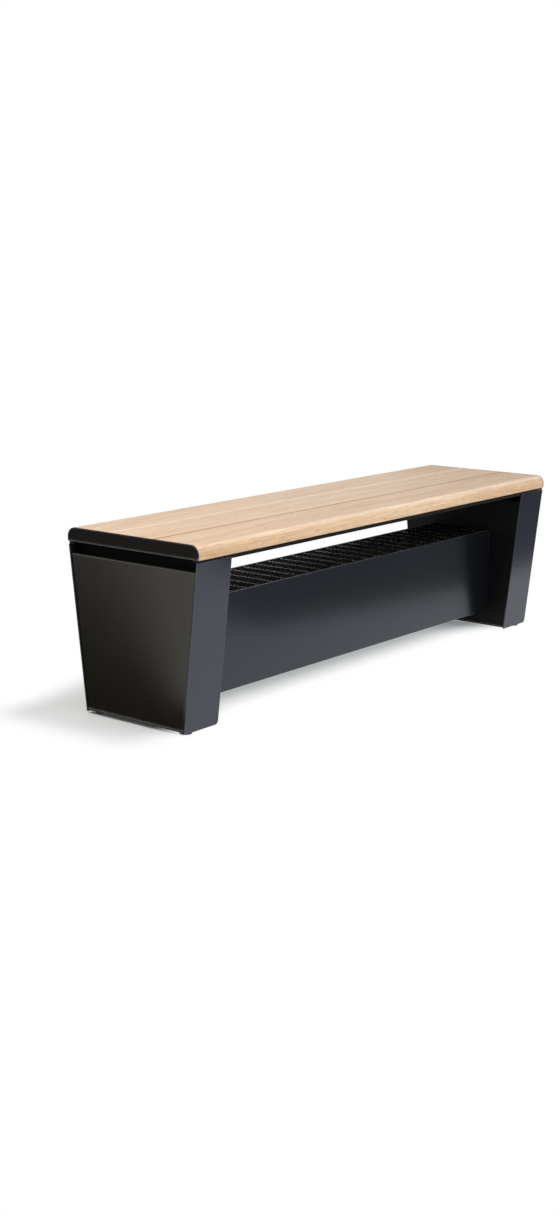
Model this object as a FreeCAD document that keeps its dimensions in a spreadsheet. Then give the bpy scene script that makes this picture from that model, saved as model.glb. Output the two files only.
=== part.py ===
import FreeCAD, Part
import math
import os
import re
import Sketcher

# A heated bench: an oak seat on two sheet-steel legs with a convector hung between them.
# The origin lies on the floor under the middle of the seat. X runs along the seat, the front faces -Y.

doc = FreeCAD.newDocument("heated_bench")

# Driving sizes in millimetres, angles in degrees
driving = {
    # seat boards and end caps
    "bench_length": 1500,
    "seat_height": 450,
    "seat_depth": 416,
    "board_thickness": 34,
    "board_gap": 3,
    "board_chamfer": 1.5,
    "seat_edge_radius": 23,
    "cap_thickness": 3,
    "cap_gap": 0.3,
    "cap_flange": 28,
    "cap_flange_inset": 4,
    "cap_bend": 2.5,
    # seat frame and its fasteners
    "rail_width": 40,
    "rail_height": 25,
    "rail_wall": 2,
    "rail_setback": 66,
    "rail_end_gap": 28,
    "cross_bar_width": 40,
    "edge_bar_width": 13,
    "edge_bar_thickness": 10.5,
    "edge_bar_notch": 4.5,
    "edge_bar_leg_gap": 1,
    "edge_bar_setback": 4,
    "edge_bar_end_gap": 1,
    "rail_screw_pitch": 270,
    "middle_screw_spacing": 70,
    "screw_radius": 2.5,
    "screw_head_radius": 5,
    "screw_head_height": 3,
    "screw_bite": 20,
    "cap_screw_bite": 18,
    "seat_bolt_radius": 4,
    "seat_bolt_spacing": 50,
    "seat_bolt_reach": 22,
    "seat_bolt_head": 7.5,
    "seat_bolt_head_height": 5.3,
    "rail_nut_radius": 6,
    "rail_nut_height": 10,
    "thread_clearance": 0.1,
    "hole_clearance": 0.25,
    # legs
    "leg_width": 116.5,
    "leg_top_depth": 411,
    "leg_foot_depth": 317,
    "leg_top_gap": 0.5,
    "leg_floor_gap": 6,
    "leg_sheet": 3,
    "leg_corner_radius": 9,
    "inner_panel_setback": 1,
    "base_plate_lift": 9,
    "base_plate_thickness": 5,
    "base_plate_setback": 2,
    "top_plate_thickness": 6,
    "top_plate_setback": 24,
    "slot_back_sheet": 3,
    "slot_back_gap": 1,
    "anchor_hole_radius": 6,
    "anchor_spacing": 200,
    "anchor_setback": 70,
    # end panels
    "panel_top_gap": 28,
    "panel_floor_gap": 15.5,
    "panel_sheet": 2,
    "panel_return": 12,
    "panel_side_gap": 1.5,
    "panel_setback": 1,
    "panel_bend": 3.5,
    "hinge_setback": 7.5,
    "hinge_height": 22.5,
    "hinge_pin_radius": 3,
    "hinge_pin_length": 10,
    "hinge_clearance": 0.06,
    "magnet_length": 48,
    "magnet_width": 30,
    "magnet_height": 12,
    "magnet_spacing": 120,
    "magnet_gap": 0.3,
    # levelling feet
    "foot_setback": 29,
    "foot_spacing": 274,
    "foot_pad_radius": 15,
    "foot_pad_height": 8,
    "foot_pad_slope": 4,
    "foot_stud_radius": 5,
    "foot_stud_length": 36,
    "foot_stud_seat": 5,
    "foot_nut_radius": 9.8,
    "foot_nut_height": 8,
    # convector casing
    "casing_depth": 198,
    "casing_top": 294,
    "casing_bottom": 54,
    "casing_sheet": 2,
    "casing_bend": 1.8,
    "casing_end_flange": 20,
    "casing_bottom_flange": 18,
    "casing_bolt_radius": 3,
    "casing_bolt_head": 5.8,
    "casing_bolt_head_height": 4,
    "casing_nut_height": 5,
    "casing_bolt_inset": 30,
    "ledge_width": 14,
    "ledge_drop": 14,
    "ledge_sheet": 2,
    "ledge_gap": 2,
    "intake_sheet": 2,
    "intake_slot_length": 80,
    "intake_slot_width": 10,
    "intake_slot_pitch": 100,
    "intake_row_pitch": 24,
    # grille
    "grille_height": 12,
    "grille_frame_width": 3,
    "grille_clearance": 1,
    "blade_width": 2,
    "blade_pitch": 12.5,
    "cross_width": 3,
    "cross_pitch": 50,
    "cross_height": 8,
    "cross_drop": 1.2,
    "notch_clearance": 0.05,
    # heating element
    "element_axis_height": 130,
    "element_length": 1040,
    "element_hub_radius": 9,
    "element_wing_span": 96,
    "element_wing_thickness": 3,
    "element_wing_angle": 35,
    "element_end_gap": 3,
    "core_radius": 4.25,
    "core_clearance": 0.1,
    "core_overhang": 35,
    "bracket_sheet": 2,
    "bracket_height": 70,
    "bush_radius": 10,
    "bush_flange_radius": 14,
    "bush_flange_height": 4,
    "bush_length": 14,
    "cutout_radius": 8,
    "cutout_height": 9,
    "cutout_offset": 45,
    # controls inside the left leg
    "box_width": 150,
    "box_height": 100,
    "box_depth": 60,
    "box_bottom": 180,
    "box_wall": 3,
    "lid_thickness": 4,
    "lid_screw_radius": 2,
    "lid_screw_head": 4,
    "lid_screw_head_height": 2.5,
    "lid_screw_length": 14,
    "lid_post": 10,
    "control_height": 235,
    "thermostat_place": 34,
    "thermostat_size": 50,
    "thermostat_depth": 30,
    "knob_radius": 20,
    "knob_height": 16,
    "knob_gap": 0.5,
    "knob_bevel": 2,
    "knob_mark_width": 2,
    "knob_mark_depth": 1,
    "knob_mark_length": 12,
    "shaft_radius": 3,
    "shaft_depth": 12,
    "shaft_clearance": 0.05,
    "switch_place": 38,
    "switch_width": 24,
    "switch_height": 34,
    "switch_depth": 30,
    "switch_rim": 3,
    "switch_rim_height": 2.5,
    "rocker_radius": 15,
    "rocker_width": 16,
    "rocker_height": 19,
    "rocker_back": 4,
    "rocker_gap": 0.35,
    "rocker_tilt": 10,
    "trunnion_radius": 2,
    "trunnion_length": 2,
    "gland_place": 40,
    "gland_radius": 11,
    "gland_neck_radius": 8,
    "gland_bore_radius": 6,
    "gland_length": 20,
    "gland_nut_height": 6,
    "base_hole_radius": 14,
    "grommet_bore_radius": 10,
    "grommet_lip": 3,
    "grommet_lip_height": 2,
    "cable_radius": 3.5,
    "cable_bend": 20,
    "cable_height": 230,
    "cable_drop": 31,
    "cable_tail": 8,
    "cable_grommet_wall": 2.5,
}

# Places that follow from the driving sizes
derived = {
    "half_length": "bench_length / 2",
    "half_depth": "seat_depth / 2",
    "board_bottom": "seat_height - board_thickness",
    "board_end": "half_length - cap_thickness - cap_gap",
    "board_pitch": "(seat_depth + board_gap) / 3",
    "cap_screw_place": "half_length - cap_thickness - cap_flange / 2",
    "rail_bottom": "board_bottom - rail_height",
    "rail_outer": "half_depth - rail_setback",
    "rail_inner": "rail_outer - rail_width",
    "rail_centre": "rail_outer - rail_width / 2",
    "rail_end": "half_length - rail_end_gap",
    "edge_bar_outer": "half_depth - edge_bar_setback",
    "edge_bar_inner": "edge_bar_outer - edge_bar_width",
    "edge_bar_bottom": "board_bottom - edge_bar_thickness",
    "edge_bar_end": "half_length - edge_bar_end_gap",
    "edge_bar_step": "edge_bar_bottom + edge_bar_notch",
    "leg_inner": "half_length - leg_width",
    "leg_centre": "half_length - leg_width / 2",
    "leg_top": "edge_bar_step - leg_top_gap",
    "leg_slope": "(leg_top_depth - leg_foot_depth) / 2 / (leg_top - leg_floor_gap)",
    "leg_slant": "sqrt(1 + leg_slope * leg_slope)",
    "leg_wall": "leg_sheet * leg_slant",
    "inner_panel_face": "leg_inner + inner_panel_setback",
    "inner_panel_back": "inner_panel_face + leg_sheet",
    "base_plate_top": "base_plate_lift + base_plate_thickness",
    "base_plate_edge": "half_length - base_plate_setback",
    "top_plate_bottom": "rail_bottom - top_plate_thickness",
    "top_plate_edge": "half_length - top_plate_setback",
    "anchor_out": "half_length - anchor_setback",
    "panel_face": "half_length - panel_setback",
    "panel_back": "panel_face - panel_return",
    "panel_top": "board_bottom - panel_top_gap",
    "panel_gap_run": "leg_wall + panel_side_gap * leg_slant",
    "panel_wall_run": "panel_gap_run + panel_sheet * leg_slant",
    "hinge_out": "half_length - hinge_setback",
    "magnet_out": "panel_face - panel_sheet - magnet_gap",
    "foot_out": "half_length - foot_setback",
    "foot_stud_top": "foot_pad_height + foot_stud_length",
    "casing_front": "casing_depth / 2",
    "casing_inside": "casing_front - casing_sheet",
    "casing_end_inside": "inner_panel_face - casing_sheet",
    "ledge_top": "casing_top - grille_height",
    "end_flange_top": "ledge_top - ledge_drop - ledge_gap",
    "flange_bolt_place": "casing_front - casing_end_flange / 2",
    "intake_bottom": "casing_bottom + casing_sheet",
    "grille_end": "inner_panel_face - grille_clearance",
    "grille_side": "casing_inside - grille_clearance",
    "grille_inner_end": "grille_end - grille_frame_width",
    "grille_inner_side": "grille_side - grille_frame_width",
    "cross_top": "casing_top - cross_drop",
    "bracket_inside": "element_length / 2 + element_end_gap",
    "bracket_outside": "bracket_inside + bracket_sheet",
    "bracket_bottom": "element_axis_height - bracket_height / 2",
    "core_end": "element_length / 2 + core_overhang",
    "box_back": "inner_panel_back",
    "box_front": "box_back + box_depth",
    "box_top": "box_bottom + box_height",
    "lid_front": "box_front + lid_thickness",
    "knob_back": "lid_front + knob_gap",
    "rocker_axis": "lid_front + switch_rim_height + 1 - rocker_radius",
    "gland_out": "box_back + box_depth / 2",
    "cable_down": "inner_panel_face - cable_drop",
}

sheet = doc.addObject("Spreadsheet::Sheet", "sizes")
for row, (name, amount) in enumerate(driving.items(), 1):
    sheet.set(f"A{row}", name)
    sheet.set(f"B{row}", str(amount))
    sheet.setAlias(f"B{row}", name)
doc.recompute()


def link(text):
    """Name the owner of each size in an expression."""

    def owned(match):
        word = match.group(0)
        if word in driving:
            return "sizes." + word
        if word in derived:
            return "places." + word
        return word

    return re.sub(r"[a-z_]+", owned, str(text))


def bind(thing, quality, text):
    """Tie a property of an object to an expression of sizes and places."""
    thing.setExpression(quality, link(text))


places = doc.addObject("App::VarSet", "places")
for name, text in derived.items():
    places.addProperty("App::PropertyFloat", name)
for name, text in derived.items():
    bind(places, name, text)
doc.recompute()


def amount_of(name):
    """The present number behind a size or a place."""
    owner = sheet if name in driving else places
    return float(getattr(owner, name))


nodes = []
sides = {"left": -1, "right": 1}
ends = {"front": -1, "back": 1}
along = {
    "x": FreeCAD.Rotation(FreeCAD.Vector(0, 1, 0), 90),
    "y": FreeCAD.Rotation(FreeCAD.Vector(1, 0, 0), -90),
    "z": FreeCAD.Rotation(),
}


def keep(thing):
    """List an object as a piece of the bench."""
    nodes.append(thing)
    return thing


def span(sign, low, high):
    """A stretch of an axis, mirrored for the negative side."""
    if sign < 0:
        return f"-({high})", f"-({low})"
    return low, high


def evenly(text):
    """A stretch that reaches equally far both ways."""
    return f"-({text})", text


def centred(middle, width):
    """A stretch of one width about a middle."""
    return f"({middle}) - ({width}) / 2", f"({middle}) + ({width}) / 2"


def box(name, x, y, z):
    block = doc.addObject("Part::Box", name)
    for axis, edge, (low, high) in zip("xyz", ("Length", "Width", "Height"), (x, y, z)):
        bind(block, f"Placement.Base.{axis}", low)
        bind(block, edge, f"({high}) - ({low})")
    return block


def rod(name, axis, reach, radius, **at):
    """A round bar along an axis, placed by its two other coordinates."""
    bar = doc.addObject("Part::Cylinder", name)
    return lay_along(bar, axis, reach, radius, "Radius", at)


def hexagon(name, axis, reach, radius, **at):
    """A hexagonal bar along an axis."""
    bar = doc.addObject("Part::Prism", name)
    bar.Polygon = 6
    return lay_along(bar, axis, reach, radius, "Circumradius", at)


def lay_along(bar, axis, reach, radius, quality, at):
    low, high = reach
    bar.Placement.Rotation = along[axis]
    bind(bar, quality, radius)
    bind(bar, "Height", f"({high}) - ({low})")
    bind(bar, f"Placement.Base.{axis}", low)
    for other, text in at.items():
        bind(bar, f"Placement.Base.{other}", text)
    return bar


def group(name, pieces):
    bundle = doc.addObject("Part::Compound", name)
    bundle.Links = pieces
    return bundle


def join(name, pieces):
    whole = doc.addObject("Part::MultiFuse", name)
    whole.Shapes = pieces
    return whole


def cut(name, base, tools):
    rest = doc.addObject("Part::Cut", name)
    rest.Base = base
    rest.Tool = tools[0] if len(tools) == 1 else group(name + "_cutters", tools)
    return rest


def overlap(name, base, tool):
    shared = doc.addObject("Part::Common", name)
    shared.Base = base
    shared.Tool = tool
    return shared


def wedge(name, x, low, high, half_low, half_high):
    """A block that is symmetric in Y and tapers with its height."""
    block = doc.addObject("Part::Wedge", name)
    block.Placement.Rotation = FreeCAD.Rotation(FreeCAD.Vector(1, 0, 0), 90)
    for mark in ("X", "X2"):
        bind(block, mark + "min", x[0])
        bind(block, mark + "max", x[1])
    bind(block, "Ymin", low)
    bind(block, "Ymax", high)
    for mark, half in (("Z", half_low), ("Z2", half_high)):
        bind(block, mark + "min", f"-({half})")
        bind(block, mark + "max", half)
    return block


def sketch_in(body, plane, corners, start="0"):
    """A closed outline on one of a body's planes, each corner tied to two expressions."""
    sketch = body.newObject("Sketcher::SketchObject", body.Name + "_outline")
    support = [item for item in body.Origin.OriginFeatures if item.Role == plane]
    sketch.AttachmentSupport = [(support[0], "")]
    sketch.MapMode = "FlatFace"
    bind(sketch, "AttachmentOffset.Base.z", start)
    count = len(corners)
    ring = [FreeCAD.Vector(math.cos(2 * math.pi * k / count), math.sin(2 * math.pi * k / count), 0)
            for k in range(count)]
    for k in range(count):
        sketch.addGeometry(Part.LineSegment(ring[k], ring[(k + 1) % count]), False)
    for k in range(count):
        sketch.addConstraint(Sketcher.Constraint("Coincident", k, 2, (k + 1) % count, 1))
    for k, texts in enumerate(corners):
        for kind, start_value, text in zip(("DistanceX", "DistanceY"), ring[k], texts):
            number = sketch.addConstraint(Sketcher.Constraint(kind, -1, 1, k, 1, start_value))
            bind(sketch, f"Constraints[{number}]", text)
    return sketch


def padded(name, plane, corners, start, length):
    """A body of one outline and one length."""
    body = doc.addObject("PartDesign::Body", name)
    sketch = sketch_in(body, plane, corners, start)
    pad = body.newObject("PartDesign::Pad", name + "_pad")
    pad.Profile = sketch
    bind(pad, "Length", length)
    return body


def turned(name, corners, x, y, z):
    """A body turned about an upright axis, from corners given as radius and height."""
    body = doc.addObject("PartDesign::Body", name)
    sketch = sketch_in(body, "XZ_Plane", corners)
    spin = body.newObject("PartDesign::Revolution", name + "_turn")
    spin.Profile = sketch
    spin.ReferenceAxis = (sketch, ["V_Axis"])
    spin.Angle = 360
    for axis, text in zip("xyz", (x, y, z)):
        bind(body, f"Placement.Base.{axis}", text)
    return body


def dress(body, kind, quality, radius, test):
    """Round or bevel the edges of a body whose middle passes a test."""
    doc.recompute()
    base = body.Tip
    edges = [f"Edge{k}" for k, edge in enumerate(base.Shape.Edges, 1) if test(edge.CenterOfMass)]
    feature = body.newObject("PartDesign::" + kind, f"{body.Name}_{kind.lower()}")
    feature.Base = (base, edges)
    bind(feature, quality, radius)
    return body


def rounded(name, base, radius, test):
    """Round the edges of a solid whose middle passes a test."""
    doc.recompute()
    soft = doc.addObject("Part::Fillet", name)
    soft.Base = base
    bend = amount_of(radius)
    soft.Edges = [(k, bend, bend) for k, edge in enumerate(base.Shape.Edges, 1) if test(edge.CenterOfMass)]
    return soft


def near(one, other):
    return abs(one - other) < 0.01


def leg_half(height, inset="0"):
    """Half the depth of a leg at a height, less an inset."""
    return f"leg_foot_depth / 2 + leg_slope * (({height}) - leg_floor_gap) - ({inset})"


def leg_space(name, x):
    """The tapered space between the front and back strips of a leg."""
    low_half = leg_half("0", "leg_wall")
    high_half = leg_half("seat_height", "leg_wall")
    return wedge(name, x, "0", "seat_height", low_half, high_half)


# Where the screws and bolts of the seat stand
rail_screws = [(f"{k} * rail_screw_pitch", f"{sign} * rail_centre")
               for k in range(-2, 3) for sign in (-1, 1)]
middle_screws = [(f"{k} * leg_centre / 2", f"{sign} * middle_screw_spacing / 2")
                 for k in (-1, 0, 1) for sign in (-1, 1)]
cap_screws = [(f"{side} * cap_screw_place", f"{k} * board_pitch") for side in (-1, 1) for k in (-1, 0, 1)]
seat_bolts = [(f"{side} * leg_centre + {step} * seat_bolt_spacing / 2", f"{sign} * rail_centre")
              for side in (-1, 1) for step in (-1, 1) for sign in (-1, 1)]


def bores(name, stations, radius, reach):
    """Upright round cutters at a list of stations."""
    return [rod(f"{name}_{k}", "z", reach, radius, x=x, y=y) for k, (x, y) in enumerate(stations)]


def make_boards():
    top = amount_of("seat_height")
    front = amount_of("half_depth")
    pilot = "screw_radius + thread_clearance"
    rebate_start = "half_length - cap_thickness - cap_flange - hole_clearance"
    rebates = [box(f"cap_rebate_{side}", span(sign, rebate_start, "half_length"),
                   evenly("half_depth - cap_flange_inset + hole_clearance"),
                   ("board_bottom - 1", "board_bottom + cap_thickness"))
               for side, sign in sides.items()]
    pilots = bores("board_pilot", rail_screws + middle_screws, pilot,
                   ("board_bottom - 1", "board_bottom + screw_bite + thread_clearance"))
    pilots += bores("cap_pilot", cap_screws, pilot,
                    ("board_bottom", "board_bottom + cap_thickness + cap_screw_bite + thread_clearance"))
    cutters = rebates + pilots
    for k, place in enumerate(("front", "middle", "back")):
        low = f"-half_depth + {k} * board_pitch"
        high = f"{low} + board_pitch - board_gap"
        outline = [(low, "board_bottom"), (high, "board_bottom"), (high, "seat_height"), (low, "seat_height")]
        blank = padded(f"{place}_board_blank", "YZ_Plane", outline, "-board_end", "2 * board_end")
        if place != "middle":
            dress(blank, "Fillet", "Radius", "seat_edge_radius",
                  lambda point: near(abs(point.y), front) and near(point.z, top))
        dress(blank, "Chamfer", "Size", "board_chamfer",
              lambda point: near(point.z, top) and near(point.x, 0) and abs(point.y) < front / 2)
        keep(cut(f"{place}_seat_board", blank, cutters))


def make_caps():
    top = amount_of("seat_height")
    front = amount_of("half_depth")
    outer = amount_of("half_length")
    low = amount_of("board_bottom")
    holes = bores("cap_hole", cap_screws, "screw_radius + hole_clearance",
                  ("board_bottom - 1", "board_bottom + cap_thickness + 1"))
    for side, sign in sides.items():
        start = "half_length - cap_thickness" if sign > 0 else "-half_length"
        plate = padded(f"{side}_cap_plate", "YZ_Plane",
                       [("-half_depth", "board_bottom"), ("half_depth", "board_bottom"),
                        ("half_depth", "seat_height"), ("-half_depth", "seat_height")],
                       start, "cap_thickness")
        dress(plate, "Fillet", "Radius", "seat_edge_radius",
              lambda point: near(abs(point.y), front) and near(point.z, top))
        flange = box(f"{side}_cap_flange",
                     span(sign, "half_length - cap_thickness - cap_flange", "half_length"),
                     evenly("half_depth - cap_flange_inset"),
                     ("board_bottom", "board_bottom + cap_thickness"))
        folded = rounded(f"{side}_cap_folded", join(f"{side}_cap_sheet", [plate, flange]), "cap_bend",
                         lambda point: near(abs(point.x), outer) and near(point.z, low))
        keep(cut(f"{side}_end_cap", folded, holes))


def make_seat_frame():
    shank_holes = bores("rail_screw_hole", rail_screws + middle_screws, "screw_radius + thread_clearance",
                        ("rail_bottom - 1", "board_bottom + 1"))
    bolt_holes = bores("rail_bolt_hole", seat_bolts, "seat_bolt_radius + hole_clearance",
                       ("rail_bottom - 1", "rail_bottom + rail_wall + 1"))
    for place, sign in ends.items():
        tube = box(f"{place}_rail_tube", evenly("rail_end"), span(sign, "rail_inner", "rail_outer"),
                   ("rail_bottom", "board_bottom"))
        hollow = box(f"{place}_rail_hollow", evenly("rail_end + 1"),
                     span(sign, "rail_inner + rail_wall", "rail_outer - rail_wall"),
                     ("rail_bottom + rail_wall", "board_bottom - rail_wall"))
        keep(cut(f"{place}_seat_rail", tube, [hollow] + shank_holes + bolt_holes))
    bars = []
    for k in range(-2, 3):
        middle = f"{k} * leg_centre / 2"
        tube = box(f"cross_tube_{k + 2}", centred(middle, "cross_bar_width"), evenly("rail_inner"),
                   ("rail_bottom", "board_bottom"))
        hollow = box(f"cross_hollow_{k + 2}", centred(middle, "cross_bar_width - 2 * rail_wall"),
                     evenly("rail_inner + 1"), ("rail_bottom + rail_wall", "board_bottom - rail_wall"))
        bars.append(cut(f"cross_bar_{k + 2}", tube, [hollow] + shank_holes))
    keep(group("seat_cross_bars", bars))
    notches = [box(f"{side}_edge_bar_notch", span(sign, "leg_inner - edge_bar_leg_gap", "half_length"),
                   evenly("half_depth"), ("edge_bar_bottom - 1", "edge_bar_step"))
               for side, sign in sides.items()]
    edge_bars = []
    for place, sign in ends.items():
        blank = box(f"{place}_edge_blank", evenly("edge_bar_end"), span(sign, "edge_bar_inner", "edge_bar_outer"),
                    ("edge_bar_bottom", "board_bottom"))
        edge_bars.append(cut(f"{place}_edge_bar", blank, notches))
    keep(group("seat_edge_bars", edge_bars))


def headed(name, stations, radius, seat, reach, head, head_height, bar=rod):
    """Upright screws or bolts with their heads under a seat."""
    pieces = []
    for k, (x, y) in enumerate(stations):
        shank = rod(f"{name}_shank_{k}", "z", (seat, reach), radius, x=x, y=y)
        cap = bar(f"{name}_head_{k}", "z", (f"{seat} - {head_height}", seat), head, x=x, y=y)
        pieces.append(join(f"{name}_{k}", [shank, cap]))
    return pieces


def make_seat_fasteners():
    board_fixings = headed("board_screw", rail_screws + middle_screws, "screw_radius", "rail_bottom",
                           "board_bottom + screw_bite", "screw_head_radius", "screw_head_height")
    keep(group("board_screws", board_fixings))
    cap_fixings = headed("cap_screw", cap_screws, "screw_radius", "board_bottom",
                         "board_bottom + cap_thickness + cap_screw_bite", "screw_head_radius",
                         "screw_head_height")
    keep(group("cap_screws", cap_fixings))
    frame_fixings = headed("seat_bolt", seat_bolts, "seat_bolt_radius", "top_plate_bottom",
                           "top_plate_bottom + seat_bolt_reach", "seat_bolt_head",
                           "seat_bolt_head_height", hexagon)
    keep(group("seat_bolts", frame_fixings))
    nuts = []
    for k, (x, y) in enumerate(seat_bolts):
        seat = "rail_bottom + rail_wall"
        collar = rod(f"rail_nut_blank_{k}", "z", (seat, f"{seat} + rail_nut_height"), "rail_nut_radius",
                     x=x, y=y)
        bore = rod(f"rail_nut_bore_{k}", "z", (f"{seat} - 1", f"{seat} + rail_nut_height + 1"),
                   "seat_bolt_radius + thread_clearance", x=x, y=y)
        nuts.append(cut(f"rail_nut_{k}", collar, [bore]))
    keep(group("rail_nuts", nuts))


# The bolts that hold the casing to the legs: height and the sign of Y
flange_heights = ("casing_bottom + casing_bolt_inset", "(casing_bottom + end_flange_top) / 2",
                  "end_flange_top - casing_bolt_inset")
flange_bolts = [(sign, height) for sign in (-1, 1) for height in flange_heights]


def make_legs():
    floor_edge = amount_of("leg_floor_gap")
    middle = amount_of("leg_centre")
    for side, sign in sides.items():
        for place, end in ends.items():
            outline = [(f"{end} * ({leg_half(z, inset)})", z) for z, inset in
                       (("leg_floor_gap", "0"), ("leg_top", "0"), ("leg_top", "leg_wall"),
                        ("leg_floor_gap", "leg_wall"))]
            start = "leg_inner" if sign > 0 else "-half_length"
            strip = padded(f"{side}_{place}_leg_strip", "YZ_Plane", outline, start, "leg_width")
            dress(strip, "Fillet", "Radius", "leg_corner_radius",
                  lambda point: near(point.z, floor_edge) and point.x > sign * middle + 1)
            keep(strip)
        sheet_x = span(sign, "inner_panel_face", "inner_panel_back")
        blank = wedge(f"{side}_inner_blank", sheet_x, "base_plate_top", "top_plate_bottom",
                      leg_half("base_plate_top", "leg_wall"), leg_half("top_plate_bottom", "leg_wall"))
        hole_x = span(sign, "inner_panel_face - 1", "inner_panel_back + 1")
        holes = [rod(f"{side}_inner_hole_{k}", "x", hole_x, "casing_bolt_radius + hole_clearance",
                     y=f"{end} * flange_bolt_place", z=height)
                 for k, (end, height) in enumerate(flange_bolts)]
        if side == "left":
            holes.append(rod("cable_panel_hole", "x", hole_x, "cable_radius + cable_grommet_wall", y="0",
                             z="cable_height"))
        keep(cut(f"{side}_inner_panel", blank, holes))
        make_leg_plates(side, sign)


def make_leg_plates(side, sign):
    space = leg_space(f"{side}_leg_space", span(sign, "leg_inner", "half_length"))
    base = box(f"{side}_base_blank", span(sign, "inner_panel_face", "base_plate_edge"),
               evenly("half_depth"), ("base_plate_lift", "base_plate_top"))
    through = ("base_plate_lift - 1", "base_plate_top + 1")
    holes = []
    for place, end in ends.items():
        holes.append(rod(f"{side}_{place}_stud_hole", "z", through, "foot_stud_radius + hole_clearance",
                         x=f"{sign} * foot_out", y=f"{end} * foot_spacing / 2"))
        holes.append(rod(f"{side}_{place}_anchor_hole", "z", through, "anchor_hole_radius",
                         x=f"{sign} * anchor_out", y=f"{end} * anchor_spacing / 2"))
    if side == "left":
        holes.append(rod("cable_base_hole", "z", through, "base_hole_radius", x="-gland_out",
                         y="gland_place"))
    keep(cut(f"{side}_base_plate", overlap(f"{side}_base_sheet", base, space), holes))
    level = box(f"{side}_top_blank", span(sign, "inner_panel_face", "top_plate_edge"), evenly("half_depth"),
                ("top_plate_bottom", "rail_bottom"))
    lip_x = span(sign, "top_plate_edge - slot_back_sheet", "top_plate_edge")
    low_lip = box(f"{side}_low_lip", lip_x, evenly("half_depth"), ("rail_bottom", "leg_top"))
    high_lip = box(f"{side}_high_lip", lip_x, evenly("edge_bar_inner - slot_back_gap"),
                   ("rail_bottom", "board_bottom - slot_back_gap"))
    top = join(f"{side}_top_bent", [level, low_lip, high_lip])
    bolt_holes = bores(f"{side}_top_bolt_hole", seat_bolts, "seat_bolt_radius + hole_clearance",
                       ("top_plate_bottom - 1", "rail_bottom + 1"))
    keep(cut(f"{side}_top_plate", overlap(f"{side}_top_sheet", top, space), bolt_holes))


def make_end_panels():
    face = amount_of("panel_face")
    pins = []
    magnets = []
    for side, sign in sides.items():
        pan = wedge(f"{side}_panel_pan", span(sign, "panel_back", "panel_face"), "panel_floor_gap",
                    "panel_top", leg_half("panel_floor_gap", "panel_gap_run"),
                    leg_half("panel_top", "panel_gap_run"))
        soft = rounded(f"{side}_panel_bent", pan, "panel_bend", lambda point: near(abs(point.x), face))
        low = "panel_floor_gap + panel_sheet"
        high = "panel_top - panel_sheet"
        hollow = wedge(f"{side}_panel_hollow", span(sign, "panel_back - 1", "panel_face - panel_sheet"),
                       low, high, leg_half(low, "panel_wall_run"), leg_half(high, "panel_wall_run"))
        eye = rod(f"{side}_panel_eye", "y", evenly("half_depth"), "hinge_pin_radius + hinge_clearance",
                  x=f"{sign} * hinge_out", z="hinge_height")
        keep(cut(f"{side}_end_panel", soft, [hollow, eye]))
        space = leg_space(f"{side}_pin_space", span(sign, "leg_inner", "half_length"))
        for place, end in ends.items():
            reach = span(end, leg_half("hinge_height", "leg_wall + hinge_pin_length"), "half_depth")
            bar = rod(f"{side}_{place}_pin_bar", "y", reach, "hinge_pin_radius", x=f"{sign} * hinge_out",
                      z="hinge_height")
            pins.append(overlap(f"{side}_{place}_hinge_pin", bar, space))
            magnets.append(box(f"{side}_{place}_magnet",
                               span(sign, "magnet_out - magnet_length", "magnet_out"),
                               centred(f"{end} * magnet_spacing / 2", "magnet_width"),
                               ("top_plate_bottom - magnet_height", "top_plate_bottom")))
    keep(group("panel_hinge_pins", pins))
    keep(group("panel_magnets", magnets))


def make_feet():
    nuts = []
    for side, sign in sides.items():
        for place, end in ends.items():
            x = f"{sign} * foot_out"
            y = f"{end} * foot_spacing / 2"
            stud = "foot_stud_radius + thread_clearance"
            seat = "foot_pad_height - foot_stud_seat"
            keep(turned(f"{side}_{place}_foot_pad",
                        [("0", "0"), ("foot_pad_radius", "0"),
                         ("foot_pad_radius", "foot_pad_height - foot_pad_slope"),
                         ("foot_pad_radius - foot_pad_slope", "foot_pad_height"),
                         (stud, "foot_pad_height"), (stud, seat), ("0", seat)],
                        x, y, "0"))
            keep(rod(f"{side}_{place}_foot_stud", "z", (seat, "foot_stud_top"), "foot_stud_radius", x=x, y=y))
            nut_reach = ("base_plate_top", "base_plate_top + foot_nut_height")
            blank = hexagon(f"{side}_{place}_nut_blank", "z", nut_reach, "foot_nut_radius", x=x, y=y)
            bore_reach = ("base_plate_top - 1", "base_plate_top + foot_nut_height + 1")
            bore = rod(f"{side}_{place}_nut_bore", "z", bore_reach, stud, x=x, y=y)
            nuts.append(cut(f"{side}_{place}_foot_nut", blank, [bore]))
    keep(group("foot_nuts", nuts))


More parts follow.
